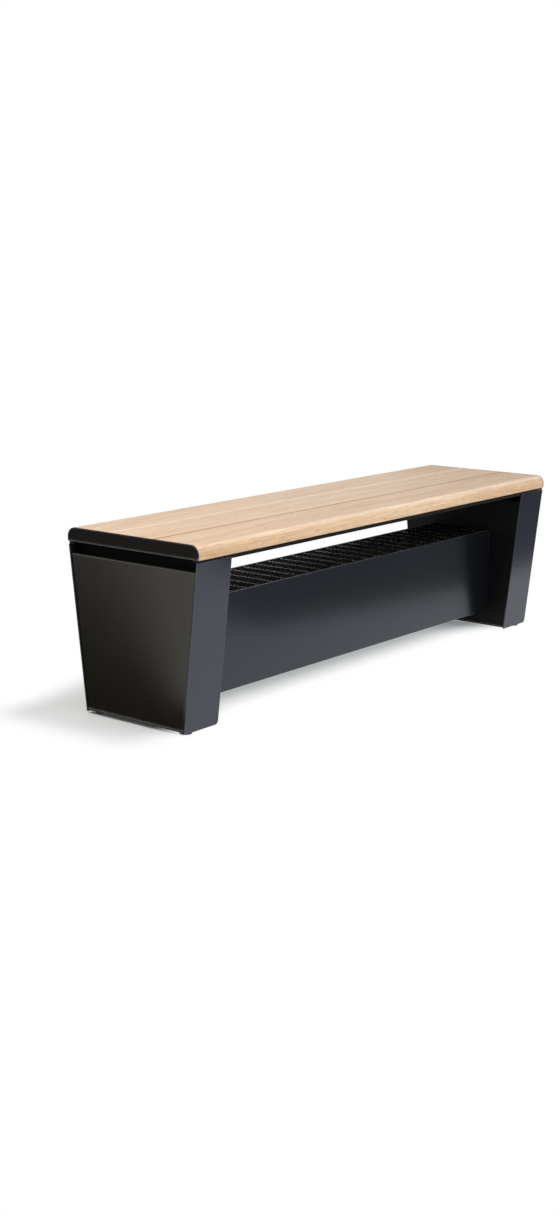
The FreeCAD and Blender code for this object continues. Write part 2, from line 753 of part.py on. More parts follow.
def make_casing():
    low_edge = amount_of("casing_bottom")
    front = amount_of("casing_front")
    ledges = []
    for place, end in ends.items():
        lip = "casing_front - casing_bottom_flange"
        outline = [(f"{end} * ({y})", z) for y, z in
                   (("casing_front", "casing_bottom"), ("casing_front", "casing_top"),
                    ("casing_inside", "casing_top"), ("casing_inside", "intake_bottom"),
                    (lip, "intake_bottom"), (lip, "casing_bottom"))]
        full_length = ("-inner_panel_face", "2 * inner_panel_face")
        skin = padded(f"{place}_casing_skin", "YZ_Plane", outline, *full_length)
        dress(skin, "Fillet", "Radius", "casing_bend",
              lambda point: near(abs(point.y), front) and near(point.z, low_edge))
        flanges = [box(f"{place}_{side}_end_flange", span(sign, "casing_end_inside", "inner_panel_face"),
                       span(end, "casing_front - casing_end_flange", "casing_inside"),
                       ("intake_bottom + intake_sheet + ledge_gap", "end_flange_top"))
                   for side, sign in sides.items()]
        sheet_metal = join(f"{place}_casing_sheet", [skin] + flanges)
        holes = [rod(f"{place}_flange_hole_{k}", "x", evenly("inner_panel_face + 1"),
                     "casing_bolt_radius + hole_clearance", y=f"{end} * flange_bolt_place", z=height)
                 for k, height in enumerate(flange_heights)]
        keep(cut(f"{place}_casing_panel", sheet_metal, holes))
        angle = [(f"{end} * ({y})", z) for y, z in
                 (("casing_inside", "ledge_top"), ("casing_inside - ledge_width", "ledge_top"),
                  ("casing_inside - ledge_width", "ledge_top - ledge_sheet"),
                  ("casing_inside - ledge_sheet", "ledge_top - ledge_sheet"),
                  ("casing_inside - ledge_sheet", "ledge_top - ledge_drop"),
                  ("casing_inside", "ledge_top - ledge_drop"))]
        ledges.append(padded(f"{place}_ledge", "YZ_Plane", angle, *full_length))
    keep(group("grille_ledges", ledges))
    make_intake()
    make_casing_bolts()


def make_intake():
    sheet_metal = box("intake_sheet_metal", evenly("inner_panel_face"), evenly("casing_inside"),
                      ("intake_bottom", "intake_bottom + intake_sheet"))
    slots = []
    half_run = amount_of("inner_panel_face") - amount_of("intake_slot_length")
    half_width = amount_of("casing_inside") - amount_of("casing_bottom_flange")
    reach = int(half_run / amount_of("intake_slot_pitch"))
    rows = int(half_width / amount_of("intake_row_pitch"))
    for column in range(-reach, reach + 1):
        for row in range(-rows, rows + 1):
            slots.append(box(f"intake_slot_{column + reach}_{row + rows}",
                             centred(f"{column} * intake_slot_pitch", "intake_slot_length"),
                             centred(f"{row} * intake_row_pitch", "intake_slot_width"),
                             ("intake_bottom - 1", "intake_bottom + intake_sheet + 1")))
    keep(cut("intake_plate", sheet_metal, slots))


def make_casing_bolts():
    bolts = []
    for side, sign in sides.items():
        for k, (end, height) in enumerate(flange_bolts):
            at = {"y": f"{end} * flange_bolt_place", "z": height}
            shank = rod(f"{side}_casing_shank_{k}", "x",
                        span(sign, "casing_end_inside", "inner_panel_back + casing_nut_height"),
                        "casing_bolt_radius", **at)
            head = rod(f"{side}_casing_head_{k}", "x",
                       span(sign, "casing_end_inside - casing_bolt_head_height", "casing_end_inside"),
                       "casing_bolt_head", **at)
            nut = hexagon(f"{side}_casing_nut_{k}", "x",
                          span(sign, "inner_panel_back", "inner_panel_back + casing_nut_height"),
                          "casing_bolt_head", **at)
            bolts.append(join(f"{side}_casing_bolt_{k}", [shank, head, nut]))
    keep(group("casing_bolts", bolts))


def make_grille():
    height = ("ledge_top", "casing_top")
    rim = box("grille_rim", evenly("grille_end"), evenly("grille_side"), height)
    window = box("grille_window", evenly("grille_inner_end"), evenly("grille_inner_side"),
                 ("ledge_top - 1", "casing_top + 1"))
    keep(cut("grille_frame", rim, [window]))
    crosses = []
    notches = []
    count = int(amount_of("grille_inner_end") / amount_of("cross_pitch"))
    for k in range(-count, count + 1):
        middle = f"{k} * cross_pitch"
        crosses.append(box(f"grille_cross_{k + count}", centred(middle, "cross_width"),
                           evenly("grille_inner_side"), ("cross_top - cross_height", "cross_top")))
        notches.append(box(f"grille_notch_{k + count}",
                           centred(middle, "cross_width + 2 * notch_clearance"),
                           evenly("grille_inner_side"), ("ledge_top - 1", "cross_top + notch_clearance")))
    blades = []
    count = int(amount_of("grille_inner_side") / amount_of("blade_pitch"))
    for k in range(-count, count + 1):
        blades.append(box(f"grille_blade_{k + count}", evenly("grille_inner_end"),
                          centred(f"{k} * blade_pitch", "blade_width"), height))
    keep(cut("grille_blades", group("grille_blade_blanks", blades), notches))
    keep(group("grille_cross_bars", crosses))


def make_element():
    axis = {"y": "0", "z": "element_axis_height"}
    wings = []
    for k, sign in enumerate((-1, 1)):
        wing = doc.addObject("Part::Box", f"element_wing_{k}")
        bind(wing, "Length", "element_length")
        bind(wing, "Width", "element_wing_span")
        bind(wing, "Height", "element_wing_thickness")
        angle = math.radians(sign * amount_of("element_wing_angle"))
        wing.Placement.Rotation = FreeCAD.Rotation(FreeCAD.Vector(1, 0, 0), math.degrees(angle))
        level = math.cos(angle)
        steep = math.sin(angle)
        across = f"{level:.9f} * element_wing_span / 2 - {steep:.9f} * element_wing_thickness / 2"
        rise = f"{steep:.9f} * element_wing_span / 2 + {level:.9f} * element_wing_thickness / 2"
        bind(wing, "Placement.Base.x", "-element_length / 2")
        bind(wing, "Placement.Base.y", f"-({across})")
        bind(wing, "Placement.Base.z", f"element_axis_height - ({rise})")
        wings.append(wing)
    hub = rod("element_hub", "x", evenly("element_length / 2"), "element_hub_radius", **axis)
    bore = rod("element_bore", "x", evenly("element_length / 2 + 1"), "core_radius + core_clearance", **axis)
    keep(cut("heating_element", join("element_profile", wings + [hub]), [bore]))
    keep(rod("element_core", "x", evenly("core_end"), "core_radius", **axis))
    plates = []
    bushes = []
    for side, sign in sides.items():
        reach = span(sign, "bracket_inside", "bracket_outside")
        plate = box(f"{side}_bracket_sheet", reach, evenly("casing_inside"),
                    centred("element_axis_height", "bracket_height"))
        hole = rod(f"{side}_bracket_hole", "x", span(sign, "bracket_inside - 1", "bracket_outside + 1"),
                   "bush_radius", **axis)
        plates.append(cut(f"{side}_element_bracket", plate, [hole]))
        neck = rod(f"{side}_bush_neck", "x", span(sign, "bracket_inside", "bracket_outside + bush_length"),
                   "bush_radius - thread_clearance", **axis)
        collar = rod(f"{side}_bush_collar", "x",
                     span(sign, "bracket_outside", "bracket_outside + bush_flange_height"),
                     "bush_flange_radius", **axis)
        hollow = rod(f"{side}_bush_bore", "x",
                     span(sign, "bracket_inside - 1", "bracket_outside + bush_length + 1"),
                     "core_radius + core_clearance", **axis)
        bushes.append(cut(f"{side}_element_bush", join(f"{side}_bush_blank", [neck, collar]), [hollow]))
    keep(group("element_brackets", plates))
    keep(group("ceramic_bushes", bushes))
    keep(rod("overheat_cutout", "x", span(-1, "bracket_outside", "bracket_outside + cutout_height"),
             "cutout_radius", y="cutout_offset", z="element_axis_height"))


# Corners of the control box where the lid is screwed down: signs of Y and Z
lid_corners = [(end, rise) for end in (-1, 1) for rise in (-1, 1)]


def lid_corner(end, rise):
    """The place of a lid screw."""
    inset = "(box_wall + lid_post / 2)"
    return {"y": f"{end} * (box_width / 2 - {inset})",
            "z": f"box_bottom + box_height / 2 + {rise} * (box_height / 2 - {inset})"}


def make_control_box():
    shell = box("box_shell", span(-1, "box_back", "box_front"), evenly("box_width / 2"),
                ("box_bottom", "box_top"))
    hollow = box("box_hollow", span(-1, "box_back + box_wall", "box_front + 1"),
                 evenly("box_width / 2 - box_wall"), ("box_bottom + box_wall", "box_top - box_wall"))
    posts = []
    screw_holes = []
    lid_holes = []
    screws = []
    for k, corner in enumerate(lid_corners):
        at = lid_corner(*corner)
        posts.append(box(f"lid_post_{k}", span(-1, "box_back + box_wall", "box_front"),
                         centred(at["y"], "lid_post"), centred(at["z"], "lid_post")))
        screw_holes.append(rod(f"lid_thread_{k}", "x",
                               span(-1, "lid_front - lid_screw_length - 1", "lid_front"),
                               "lid_screw_radius + thread_clearance", **at))
        lid_holes.append(rod(f"lid_hole_{k}", "x", span(-1, "box_front - 1", "lid_front + 1"),
                             "lid_screw_radius + hole_clearance", **at))
        shank = rod(f"lid_shank_{k}", "x", span(-1, "lid_front - lid_screw_length", "lid_front"),
                    "lid_screw_radius", **at)
        head = rod(f"lid_head_{k}", "x", span(-1, "lid_front", "lid_front + lid_screw_head_height"),
                   "lid_screw_head", **at)
        screws.append(join(f"lid_screw_{k}", [shank, head]))
    cable_hole = rod("box_cable_hole", "x", span(-1, "box_back - 1", "box_back + box_wall + 1"),
                     "cable_radius + hole_clearance", y="0", z="cable_height")
    gland_hole = rod("box_gland_hole", "z", ("box_bottom - 1", "box_bottom + box_wall + 1"),
                     "gland_neck_radius + thread_clearance", x="-gland_out", y="gland_place")
    tray = cut("box_tray", shell, [hollow])
    keep(cut("control_box", join("box_with_posts", [tray] + posts), screw_holes + [cable_hole, gland_hole]))
    plate = box("lid_plate", span(-1, "box_front", "lid_front"), evenly("box_width / 2"),
                ("box_bottom", "box_top"))
    shaft_hole = rod("lid_shaft_hole", "x", span(-1, "box_front - 1", "lid_front + 1"),
                     "shaft_radius + hole_clearance", y="-thermostat_place", z="control_height")
    window = box("lid_switch_window", span(-1, "box_front - 1", "lid_front + 1"),
                 centred("switch_place", "switch_width"), centred("control_height", "switch_height"))
    keep(cut("control_box_lid", plate, lid_holes + [shaft_hole, window]))
    keep(group("lid_screws", screws))


def make_thermostat():
    at = {"y": "-thermostat_place", "z": "control_height"}
    block = box("thermostat_block", span(-1, "box_front - thermostat_depth", "box_front"),
                centred(at["y"], "thermostat_size"), centred(at["z"], "thermostat_size"))
    bore = rod("thermostat_bore", "x", span(-1, "box_front - shaft_depth - knob_gap", "box_front + 1"),
               "shaft_radius + shaft_clearance", **at)
    keep(cut("thermostat", block, [bore]))
    front = amount_of("knob_back") + amount_of("knob_height")
    disc = rod("knob_disc", "x", span(-1, "knob_back", "knob_back + knob_height"), "knob_radius", **at)
    soft = rounded("knob_soft", disc, "knob_bevel", lambda point: near(point.x, -front))
    shaft = rod("knob_shaft", "x", span(-1, "box_front - shaft_depth", "knob_back"), "shaft_radius", **at)
    mark_top = "control_height + knob_radius - knob_bevel"
    mark = box("knob_mark",
               span(-1, "knob_back + knob_height - knob_mark_depth", "knob_back + knob_height + 1"),
               centred(at["y"], "knob_mark_width"), (f"{mark_top} - knob_mark_length", mark_top))
    keep(cut("thermostat_knob", join("knob_blank", [soft, shaft]), [mark]))


def make_switch():
    at = {"x": "-rocker_axis", "z": "control_height"}
    body = box("switch_block", span(-1, "lid_front - switch_depth", "lid_front"),
               centred("switch_place", "switch_width"), centred("control_height", "switch_height"))
    rim = box("switch_rim_plate", span(-1, "lid_front", "lid_front + switch_rim_height"),
              centred("switch_place", "switch_width + 2 * switch_rim"),
              centred("control_height", "switch_height + 2 * switch_rim"))
    well = box("switch_well", span(-1, "rocker_axis - rocker_back - 3", "lid_front + switch_rim_height + 1"),
               centred("switch_place", "rocker_width + 2 * rocker_gap"),
               centred("control_height", "rocker_height + 6"))
    bearing_width = "rocker_width + 2 * trunnion_length + 2 * rocker_gap"
    bearing = rod("switch_bearing", "y", centred("switch_place", bearing_width),
                  "trunnion_radius + shaft_clearance", **at)
    keep(cut("switch_housing", join("switch_blank", [body, rim]), [well, bearing]))
    drum = rod("rocker_drum", "y", centred("switch_place", "rocker_width"), "rocker_radius", **at)
    block = box("rocker_block", span(-1, "rocker_axis - rocker_back", "rocker_axis + rocker_radius"),
                centred("switch_place", "rocker_width"), centred("control_height", "rocker_height"))
    trunnions = rod("rocker_trunnions", "y", centred("switch_place", "rocker_width + 2 * trunnion_length"),
                    "trunnion_radius", **at)
    rocker = join("switch_rocker", [overlap("rocker_paddle", drum, block), trunnions])
    pivot = FreeCAD.Vector(-amount_of("rocker_axis"), 0, amount_of("control_height"))
    tilt = FreeCAD.Rotation(FreeCAD.Vector(0, 1, 0), amount_of("rocker_tilt"))
    rocker.Placement = FreeCAD.Placement(FreeCAD.Vector(), tilt, pivot)
    keep(rocker)


def make_cable_fittings():
    keep(turned("supply_gland",
                [("gland_bore_radius", "-gland_length"), ("gland_radius", "-gland_length"),
                 ("gland_radius", "0"), ("gland_neck_radius", "0"),
                 ("gland_neck_radius", "box_wall + gland_nut_height"),
                 ("gland_bore_radius", "box_wall + gland_nut_height")],
                "-gland_out", "gland_place", "box_bottom"))
    lip = "base_hole_radius + grommet_lip"
    keep(turned("base_grommet",
                [("grommet_bore_radius", "-grommet_lip_height"), (lip, "-grommet_lip_height"), (lip, "0"),
                 ("base_hole_radius", "0"), ("base_hole_radius", "base_plate_thickness"),
                 (lip, "base_plate_thickness"), (lip, "base_plate_thickness + grommet_lip_height"),
                 ("grommet_bore_radius", "base_plate_thickness + grommet_lip_height")],
                "-gland_out", "gland_place", "base_plate_lift"))
    ring = rod("cable_grommet_ring", "x", span(-1, "casing_end_inside", "inner_panel_back"),
               "cable_radius + cable_grommet_wall", y="0", z="cable_height")
    bore = rod("cable_grommet_bore", "x", span(-1, "casing_end_inside - 1", "inner_panel_back + 1"),
               "cable_radius + hole_clearance", y="0", z="cable_height")
    keep(cut("cable_grommet", ring, [bore]))


def make_element_cable():
    """The lead from the control box down to the end of the element core: straight runs and two bends."""
    bend = amount_of("cable_bend")
    radius = amount_of("cable_radius")
    high = amount_of("cable_height")
    low = amount_of("element_axis_height")
    start = -(amount_of("box_back") + amount_of("box_wall") + amount_of("cable_tail"))
    down = -amount_of("cable_down")
    stop = -amount_of("core_end")
    inner = bend * (1 - math.sqrt(0.5))

    def at(x, z):
        return FreeCAD.Vector(x, 0, z)

    route = [
        Part.LineSegment(at(start, high), at(down - bend, high)),
        Part.Arc(at(down - bend, high), at(down - inner, high - inner), at(down, high - bend)),
        Part.LineSegment(at(down, high - bend), at(down, low + bend)),
        Part.Arc(at(down, low + bend), at(down + inner, low + inner), at(down + bend, low)),
        Part.LineSegment(at(down + bend, low), at(stop, low)),
    ]
    path = Part.Wire([curve.toShape() for curve in route])
    ring = Part.Wire([Part.Circle(at(start, high), FreeCAD.Vector(1, 0, 0), radius).toShape()])
    cable = doc.addObject("Part::Feature", "element_cable")
    cable.Shape = path.makePipeShell([ring], True, False)
    keep(cable)
    expected = math.pi * radius**2 * path.Length
    print("cable bend radius", bend, "volume ratio", cable.Shape.Volume / expected)


make_boards()
make_caps()
make_seat_frame()
make_seat_fasteners()
make_legs()
make_end_panels()
make_feet()
make_casing()
make_grille()
make_element()
make_control_box()
make_thermostat()
make_switch()
make_cable_fittings()
make_element_cable()
doc.recompute()

faults = [thing.Name for thing in doc.Objects if {"Invalid", "Error"} & set(thing.State)]
faults += [node.Label for node in nodes if node.Shape.isNull() or not node.Shape.isValid()]
if faults:
    raise RuntimeError("these objects failed: " + ", ".join(faults))
os.makedirs("parts", exist_ok=True)
for node in nodes:
    node.Shape.exportStep(f"parts/{node.Label}.step")
print("wrote", len(nodes), "pieces with", sum(len(node.Shape.Solids) for node in nodes), "solids")
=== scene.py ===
import bpy
import bmesh
import math
import numpy as np
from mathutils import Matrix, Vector


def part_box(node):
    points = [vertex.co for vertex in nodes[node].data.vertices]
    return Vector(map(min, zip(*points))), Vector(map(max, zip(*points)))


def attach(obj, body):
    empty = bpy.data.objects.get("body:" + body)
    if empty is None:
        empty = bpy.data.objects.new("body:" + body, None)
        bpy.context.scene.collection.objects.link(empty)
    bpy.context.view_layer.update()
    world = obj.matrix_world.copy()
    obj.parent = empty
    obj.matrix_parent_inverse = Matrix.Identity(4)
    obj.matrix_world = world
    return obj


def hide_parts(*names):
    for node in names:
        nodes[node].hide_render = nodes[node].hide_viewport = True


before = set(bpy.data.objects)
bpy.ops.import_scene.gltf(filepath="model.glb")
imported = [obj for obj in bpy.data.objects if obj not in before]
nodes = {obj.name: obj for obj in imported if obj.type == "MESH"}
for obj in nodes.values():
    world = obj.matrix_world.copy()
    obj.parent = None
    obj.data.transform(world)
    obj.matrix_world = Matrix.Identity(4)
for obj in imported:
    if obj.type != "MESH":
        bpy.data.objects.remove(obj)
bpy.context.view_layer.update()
print("frame loaded with", len(nodes), "nodes")

cornerNames = [f"{side}_{end}" for side in ("left", "right") for end in ("front", "back")]


def screen(red, green, blue):
    # a colour as it is read off a screen, turned into linear light
    share = np.array([red, green, blue]) / 255
    light = np.where(share <= 0.04045, share / 12.92, ((share + 0.055) / 1.055) ** 2.4)
    return (*light.tolist(), 1.0)


def toned(colour, share):
    # the same colour with a share of its light
    return (*(share * part for part in colour[:3]), 1.0)


class Wire:
    # one socket of a node tree; sums and products of wires add Math nodes
    def __init__(self, tree, socket=None):
        self.tree = tree
        self.socket = socket

    def grow(self, kind, settings=None, feeds=None, outlet=0):
        # any node: its settings first, then the values or wires of its sockets
        node = self.tree.nodes.new(kind)
        for key, value in (settings or {}).items():
            setattr(node, key, value)
        for key, value in (feeds or {}).items():
            socket = self.pick(node.inputs, key)
            if isinstance(value, Wire):
                self.tree.links.new(value.socket, socket)
            else:
                socket.default_value = value
        return Wire(self.tree, self.pick(node.outputs, outlet) if node.outputs else None)

    @staticmethod
    def pick(sockets, key):
        if isinstance(key, int):
            return sockets[key]
        return next(socket for socket in sockets if key in (socket.identifier, socket.name))

    def maths(self, operation, *values):
        return self.grow("ShaderNodeMath", {"operation": operation}, dict(enumerate(values)))

    def __add__(self, other):
        return self.maths("ADD", self, other)

    def __radd__(self, other):
        return self.maths("ADD", other, self)

    def __sub__(self, other):
        return self.maths("SUBTRACT", self, other)

    def __rsub__(self, other):
        return self.maths("SUBTRACT", other, self)

    def __mul__(self, other):
        return self.maths("MULTIPLY", self, other)

    def __rmul__(self, other):
        return self.maths("MULTIPLY", other, self)

    def __truediv__(self, other):
        return self.maths("DIVIDE", self, other)

    def __rtruediv__(self, other):
        return self.maths("DIVIDE", other, self)

    def __pow__(self, other):
        return self.maths("POWER", self, other)


def newTree(name):
    material = bpy.data.materials.new(name)
    material.use_nodes = True
    material.node_tree.nodes.clear()
    return material, Wire(material.node_tree)


def objectPlace(root):
    return root.grow("ShaderNodeTexCoord", outlet="Object")


def mapped(root, place, shift=(0, 0, 0), scale=(1, 1, 1)):
    # coordinates stretched and then moved
    return root.grow("ShaderNodeMapping", {}, {"Vector": place, "Location": shift, "Scale": scale})


def axisOf(root, place, axis):
    return root.grow("ShaderNodeSeparateXYZ", {}, {"Vector": place}, axis)


def vectorMaths(root, operation, parts, outlet="Vector"):
    return root.grow("ShaderNodeVectorMath", {"operation": operation}, dict(enumerate(parts)), outlet)


def noise(root, place, scale, detail=2.0, roughness=0.5, distortion=0.0):
    return root.grow("ShaderNodeTexNoise", {},
                     {"Vector": place, "Scale": scale, "Detail": detail, "Roughness": roughness,
                      "Distortion": distortion}, "Fac")


def between(root, value, low, high, start=0.0, stop=1.0):
    # a soft step from start to stop while value goes from low to high
    return root.grow("ShaderNodeMapRange", {"interpolation_type": "SMOOTHSTEP"},
                     {"Value": value, "From Min": low, "From Max": high, "To Min": start, "To Max": stop},
                     "Result")


def blended(root, share, one, other):
    return root.grow("ShaderNodeMix", {"data_type": "RGBA"},
                     {"Factor_Float": share, "A_Color": one, "B_Color": other}, "Result_Color")


# the pale edge colour, wear on most pieces and a painted highlight on the caps and base plates, begins where
# the rounded normal leaves the plain one, and is full where it has turned away
edgeSet = {"samples": 4, "edgeColourStep": (0.01, 0.16)}


def softEdge(root, radius):
    # the surface normal rounded over at edges, and a mask that is 1 on them
    rounded = root.grow("ShaderNodeBevel", {"samples": edgeSet["samples"]}, {"Radius": radius})
    plain = root.grow("ShaderNodeNewGeometry", outlet="Normal")
    likeness = vectorMaths(root, "DOT_PRODUCT", [rounded, plain], "Value")
    return rounded, between(root, 1.0 - likeness, *edgeSet["edgeColourStep"])


def bumped(root, normal, height, size):
    # fine relief on top of a normal
    return root.grow("ShaderNodeBump", {}, {"Strength": size["bump"], "Distance": size["depth"],
                                            "Height": height, "Normal": normal}, "Normal")


def closeTree(root, feeds):
    shader = root.grow("ShaderNodeBsdfPrincipled", {}, feeds)
    root.grow("ShaderNodeOutputMaterial", {}, {"Surface": shader})


def dress(name, material):
    node = nodes[name]
    if not node.material_slots:
        node.data.materials.append(material)
    for slot in node.material_slots:
        slot.material = material


def dressAll(finishes, make):
    # a material for each finish, put on the nodes that it names
    made = {}
    for name, size in finishes.items():
        made[name] = make(name, size)
        for member in size["nodes"]:
            dress(member, made[name])
    return made


# camera at the place that the photograph was taken from
cameraSet = {
    "place": (-3.33706, -2.55515, 1.0747),
    "azimuth": 50.75,
    "dip": 12.36,
    "lens": 47.52,
    "sensor": 36,
}


def makeCamera(size):
    data = bpy.data.cameras.new("photoCamera")
    data.sensor_fit = "AUTO"
    data.sensor_width = size["sensor"]
    data.lens = size["lens"]
    camera = bpy.data.objects.new("photoCamera", data)
    camera.location = size["place"]
    camera.rotation_euler = (math.radians(90 - size["dip"]), 0, -math.radians(size["azimuth"]))
    bpy.context.scene.collection.objects.link(camera)
    bpy.context.scene.camera = camera
    bpy.context.scene.view_settings.view_transform = "Standard"


makeCamera(cameraSet)

# pale floor, white surroundings, soft lamps, and grey cards that only reflections show
studioSet = {
    "floorReach": 30.0,
    "floorColour": (0.84, 0.84, 0.83, 1),
    "floorWhite": 0.36,
    "shadeCentre": (-0.10, 0.18, 0.0),
    "shadeHalf": (0.72, 0.15, 0.0),
    "shadeFade": 0.14,
    "legStep": (0.45, 0.78),
    "legShift": (0.0, 0.07, 0.0),
    "domeColour": (0.47, 0.48, 0.50, 1),
    "lamps": {
        "leftLamp": {"place": (-2.2, -0.1, 2.5), "aim": (-0.5, 0, 0.4), "size": (1.5, 1.5), "watts": 43,
                     "colour": (1.0, 0.97, 0.93), "seenBy": ("diffuse", "glossy")},
        "frontLamp": {"place": (0.3, -3.0, 1.35), "aim": (0.2, 0, 0.25), "size": (2.4, 1.4), "watts": 61,
                      "colour": (0.80, 0.92, 1.0), "seenBy": ("diffuse",)},
        "rightLamp": {"place": (3.0, -0.25, 3.3), "aim": (0, -0.2, 0.44), "size": (1.9, 1.9), "watts": 54,
                      "colour": (0.72, 0.88, 1.0), "seenBy": ("glossy",)},
    },
    "cards": {
        "frontCard": {"grey": 0.20, "corners": [(0.2, -3.2, 0.003), (3.5, -3.2, 0.003), (3.5, -0.40, 0.003),
                                                (1.0, -0.46, 0.003), (0.2, -0.60, 0.003)]},
        "leftCard": {"grey": 0.01, "corners": [(-0.753, -0.3, 0.003), (-0.753, 2.5, 0.003),
                                               (-3.2, 2.5, 0.003), (-1.9, 1.12, 0.003), (-1.0, 0.1, 0.003),
                                               (-0.80, -0.3, 0.003)]},
        "backCard": {"grey": 0.58, "corners": [(3.9, 0.6, 0.0), (2.9, 1.7, 0.0), (2.9, 1.7, 1.6),
                                               (3.9, 0.6, 1.6)]},
        "gapCard": {"grey": 0.01, "corners": [(0.0, 0.215, 0.406), (0.64, 0.215, 0.312),
                                              (0.64, 0.215, 0.406)]},
    },
}


def seenDirectly(root):
    # 1 for what the eye, a reflection or a clear piece looks at
    kinds = ("Camera", "Glossy", "Transmission")
    eye, mirror, clear = (root.grow("ShaderNodeLightPath", outlet=f"Is {kind} Ray") for kind in kinds)
    return root.maths("MINIMUM", eye + mirror + clear, 1.0)


def stagePlane(name, corners):
    mesh = bpy.data.meshes.new(name)
    mesh.from_pydata(corners, [], [range(len(corners))])
    plane = bpy.data.objects.new(name, mesh)
    bpy.context.scene.collection.objects.link(plane)
    return plane


def makeFloor(size):
    reach = size["floorReach"]
    corners = [(-reach, -reach, 0), (reach, -reach, 0), (reach, reach, 0), (-reach, reach, 0)]
    floor = stagePlane("studioFloor", corners)
    material, root = newTree("studioFloor")
    place = objectPlace(root)
    # the shade is a soft rectangle, which comes forward and gets darker beside the legs
    fromMiddle = root.maths("ABSOLUTE", axisOf(root, place, "X"))
    besideLeg = between(root, fromMiddle, *size["legStep"])
    shift = root.grow("ShaderNodeVectorMath", {"operation": "SCALE"},
                      {0: size["legShift"], "Scale": besideLeg})
    spot = vectorMaths(root, "ADD", [place, shift])
    spot = vectorMaths(root, "SUBTRACT", [spot, size["shadeCentre"]])
    spot = vectorMaths(root, "ABSOLUTE", [spot])
    outside = vectorMaths(root, "SUBTRACT", [spot, size["shadeHalf"]])
    outside = vectorMaths(root, "MAXIMUM", [outside, (0, 0, 0)])
    away = vectorMaths(root, "LENGTH", [outside], "Value")
    inner = size["floorWhite"] * (1.0 - besideLeg)
    white = inner + (1.0 - inner) * between(root, away, 0.0, size["shadeFade"])
    matt = root.grow("ShaderNodeBsdfDiffuse", {}, {"Color": size["floorColour"]})
    glow = root.grow("ShaderNodeEmission", {}, {"Color": (1, 1, 1, 1), "Strength": 1.0})
    both = root.grow("ShaderNodeMixShader", {}, {0: seenDirectly(root) * white, 1: matt, 2: glow})
    root.grow("ShaderNodeOutputMaterial", {}, {"Surface": both})
    floor.data.materials.append(material)


def makeCards(size):
    for name, card in size["cards"].items():
        material, root = newTree(name)
        matt = root.grow("ShaderNodeBsdfDiffuse", {}, {"Color": toned((1, 1, 1), card["grey"])})
        root.grow("ShaderNodeOutputMaterial", {}, {"Surface": matt})
        plane = stagePlane(name, card["corners"])
        plane.data.materials.append(material)
        plane.visible_camera = False
        plane.visible_transmission = False
        plane.visible_diffuse = False
        plane.visible_shadow = False


def makeWorld(size):
    world = bpy.data.worlds.new("studioWorld")
    world.use_nodes = True
    world.node_tree.nodes.clear()
    root = Wire(world.node_tree)
    colour = blended(root, seenDirectly(root), size["domeColour"], (1, 1, 1, 1))
    back = root.grow("ShaderNodeBackground", {}, {"Color": colour, "Strength": 1.0})
    root.grow("ShaderNodeOutputWorld", {}, {"Surface": back})
    bpy.context.scene.world = world


def makeLamps(size):
    for name, lamp in size["lamps"].items():
        data = bpy.data.lights.new(name, "AREA")
        data.shape = "RECTANGLE"
        data.size, data.size_y = lamp["size"]
        data.energy = lamp["watts"]
        data.color = lamp["colour"]
        lampObject = bpy.data.objects.new(name, data)
        lampObject.location = lamp["place"]
        aim = Vector(lamp["aim"]) - Vector(lamp["place"])
        lampObject.rotation_euler = aim.to_track_quat("-Z", "Y").to_euler()
        lampObject.visible_camera = False
        lampObject.visible_diffuse = "diffuse" in lamp["seenBy"]
        lampObject.visible_glossy = "glossy" in lamp["seenBy"]
        bpy.context.scene.collection.objects.link(lampObject)


makeFloor(studioSet)
makeCards(studioSet)
makeWorld(studioSet)
makeLamps(studioSet)
print("camera and studio ready")

# oiled oak, one cut of the tree for each board; each Step holds the two ends of a soft step
oakSet = {
    "pale": screen(224, 190, 153),
    "honey": screen(203, 161, 120),
    "pore": screen(150, 108, 74),
    "fleck": screen(235, 208, 175),
    # pale colour of the painted highlight along the back seam
    "seamHighlight": screen(240, 221, 195),
    # dark colour of the front seam: grime, and painted shade in the joint
    "grimeAndShade": screen(138, 88, 62),
    # how close each pattern is along, across and through a board
    "wanderScale": (1.1, 7.0, 7.0),
    "streakScale": (9.0, 210.0, 210.0),
    "bandScale": (2.2, 30.0, 30.0),
    "poreScale": (34.0, 800.0, 800.0),
    "fleckScale": (22.0, 230.0, 90.0),
    "ringPitch": 0.0034,
    "ringWander": (0.03, 0.02),
    "lateStep": (0.55, 0.98),
    "poreStep": (0.58, 0.70),
    "fleckStep": (0.62, 0.76),
    "toneStep": (0.36, 0.64),
    # how much of each colour goes over those before it
    "lateShare": 0.16,
    "fleckShare": 0.4,
    "poreShare": 0.6,
    "wornShare": 0.12,
    # distances from the seams between the boards
    "seam": 0.0698,
    "seamHighlightStep": (0.011, 0.005),
    "seamHighlightRagged": (0.012, 0.006),
    "grimeAndShadeStep": (0.0056, 0.0026),
    "grimeAndShadeRagged": 0.002,
    "dullStep": (0.0050, 0.0034),
    "rough": 0.43,
    "shine": 0.5,
    "oil": 0.28,
    "oilRough": 0.38,
    "edgeRadius": 0.0012,
    "bump": 0.3,
    "depth": 0.0003,
    "boards": {
        "front_seat_board": {"shift": (0.31, 0.02, 0.01), "pith": (-0.45, 0.30), "warmth": 0.04},
        "middle_seat_board": {"shift": (1.83, 0.07, 0.05), "pith": (0.41, 0.25), "warmth": -0.02},
        "back_seat_board": {"shift": (3.57, -0.05, 0.02), "pith": (-0.37, 0.33), "warmth": 0.0},
    },
}


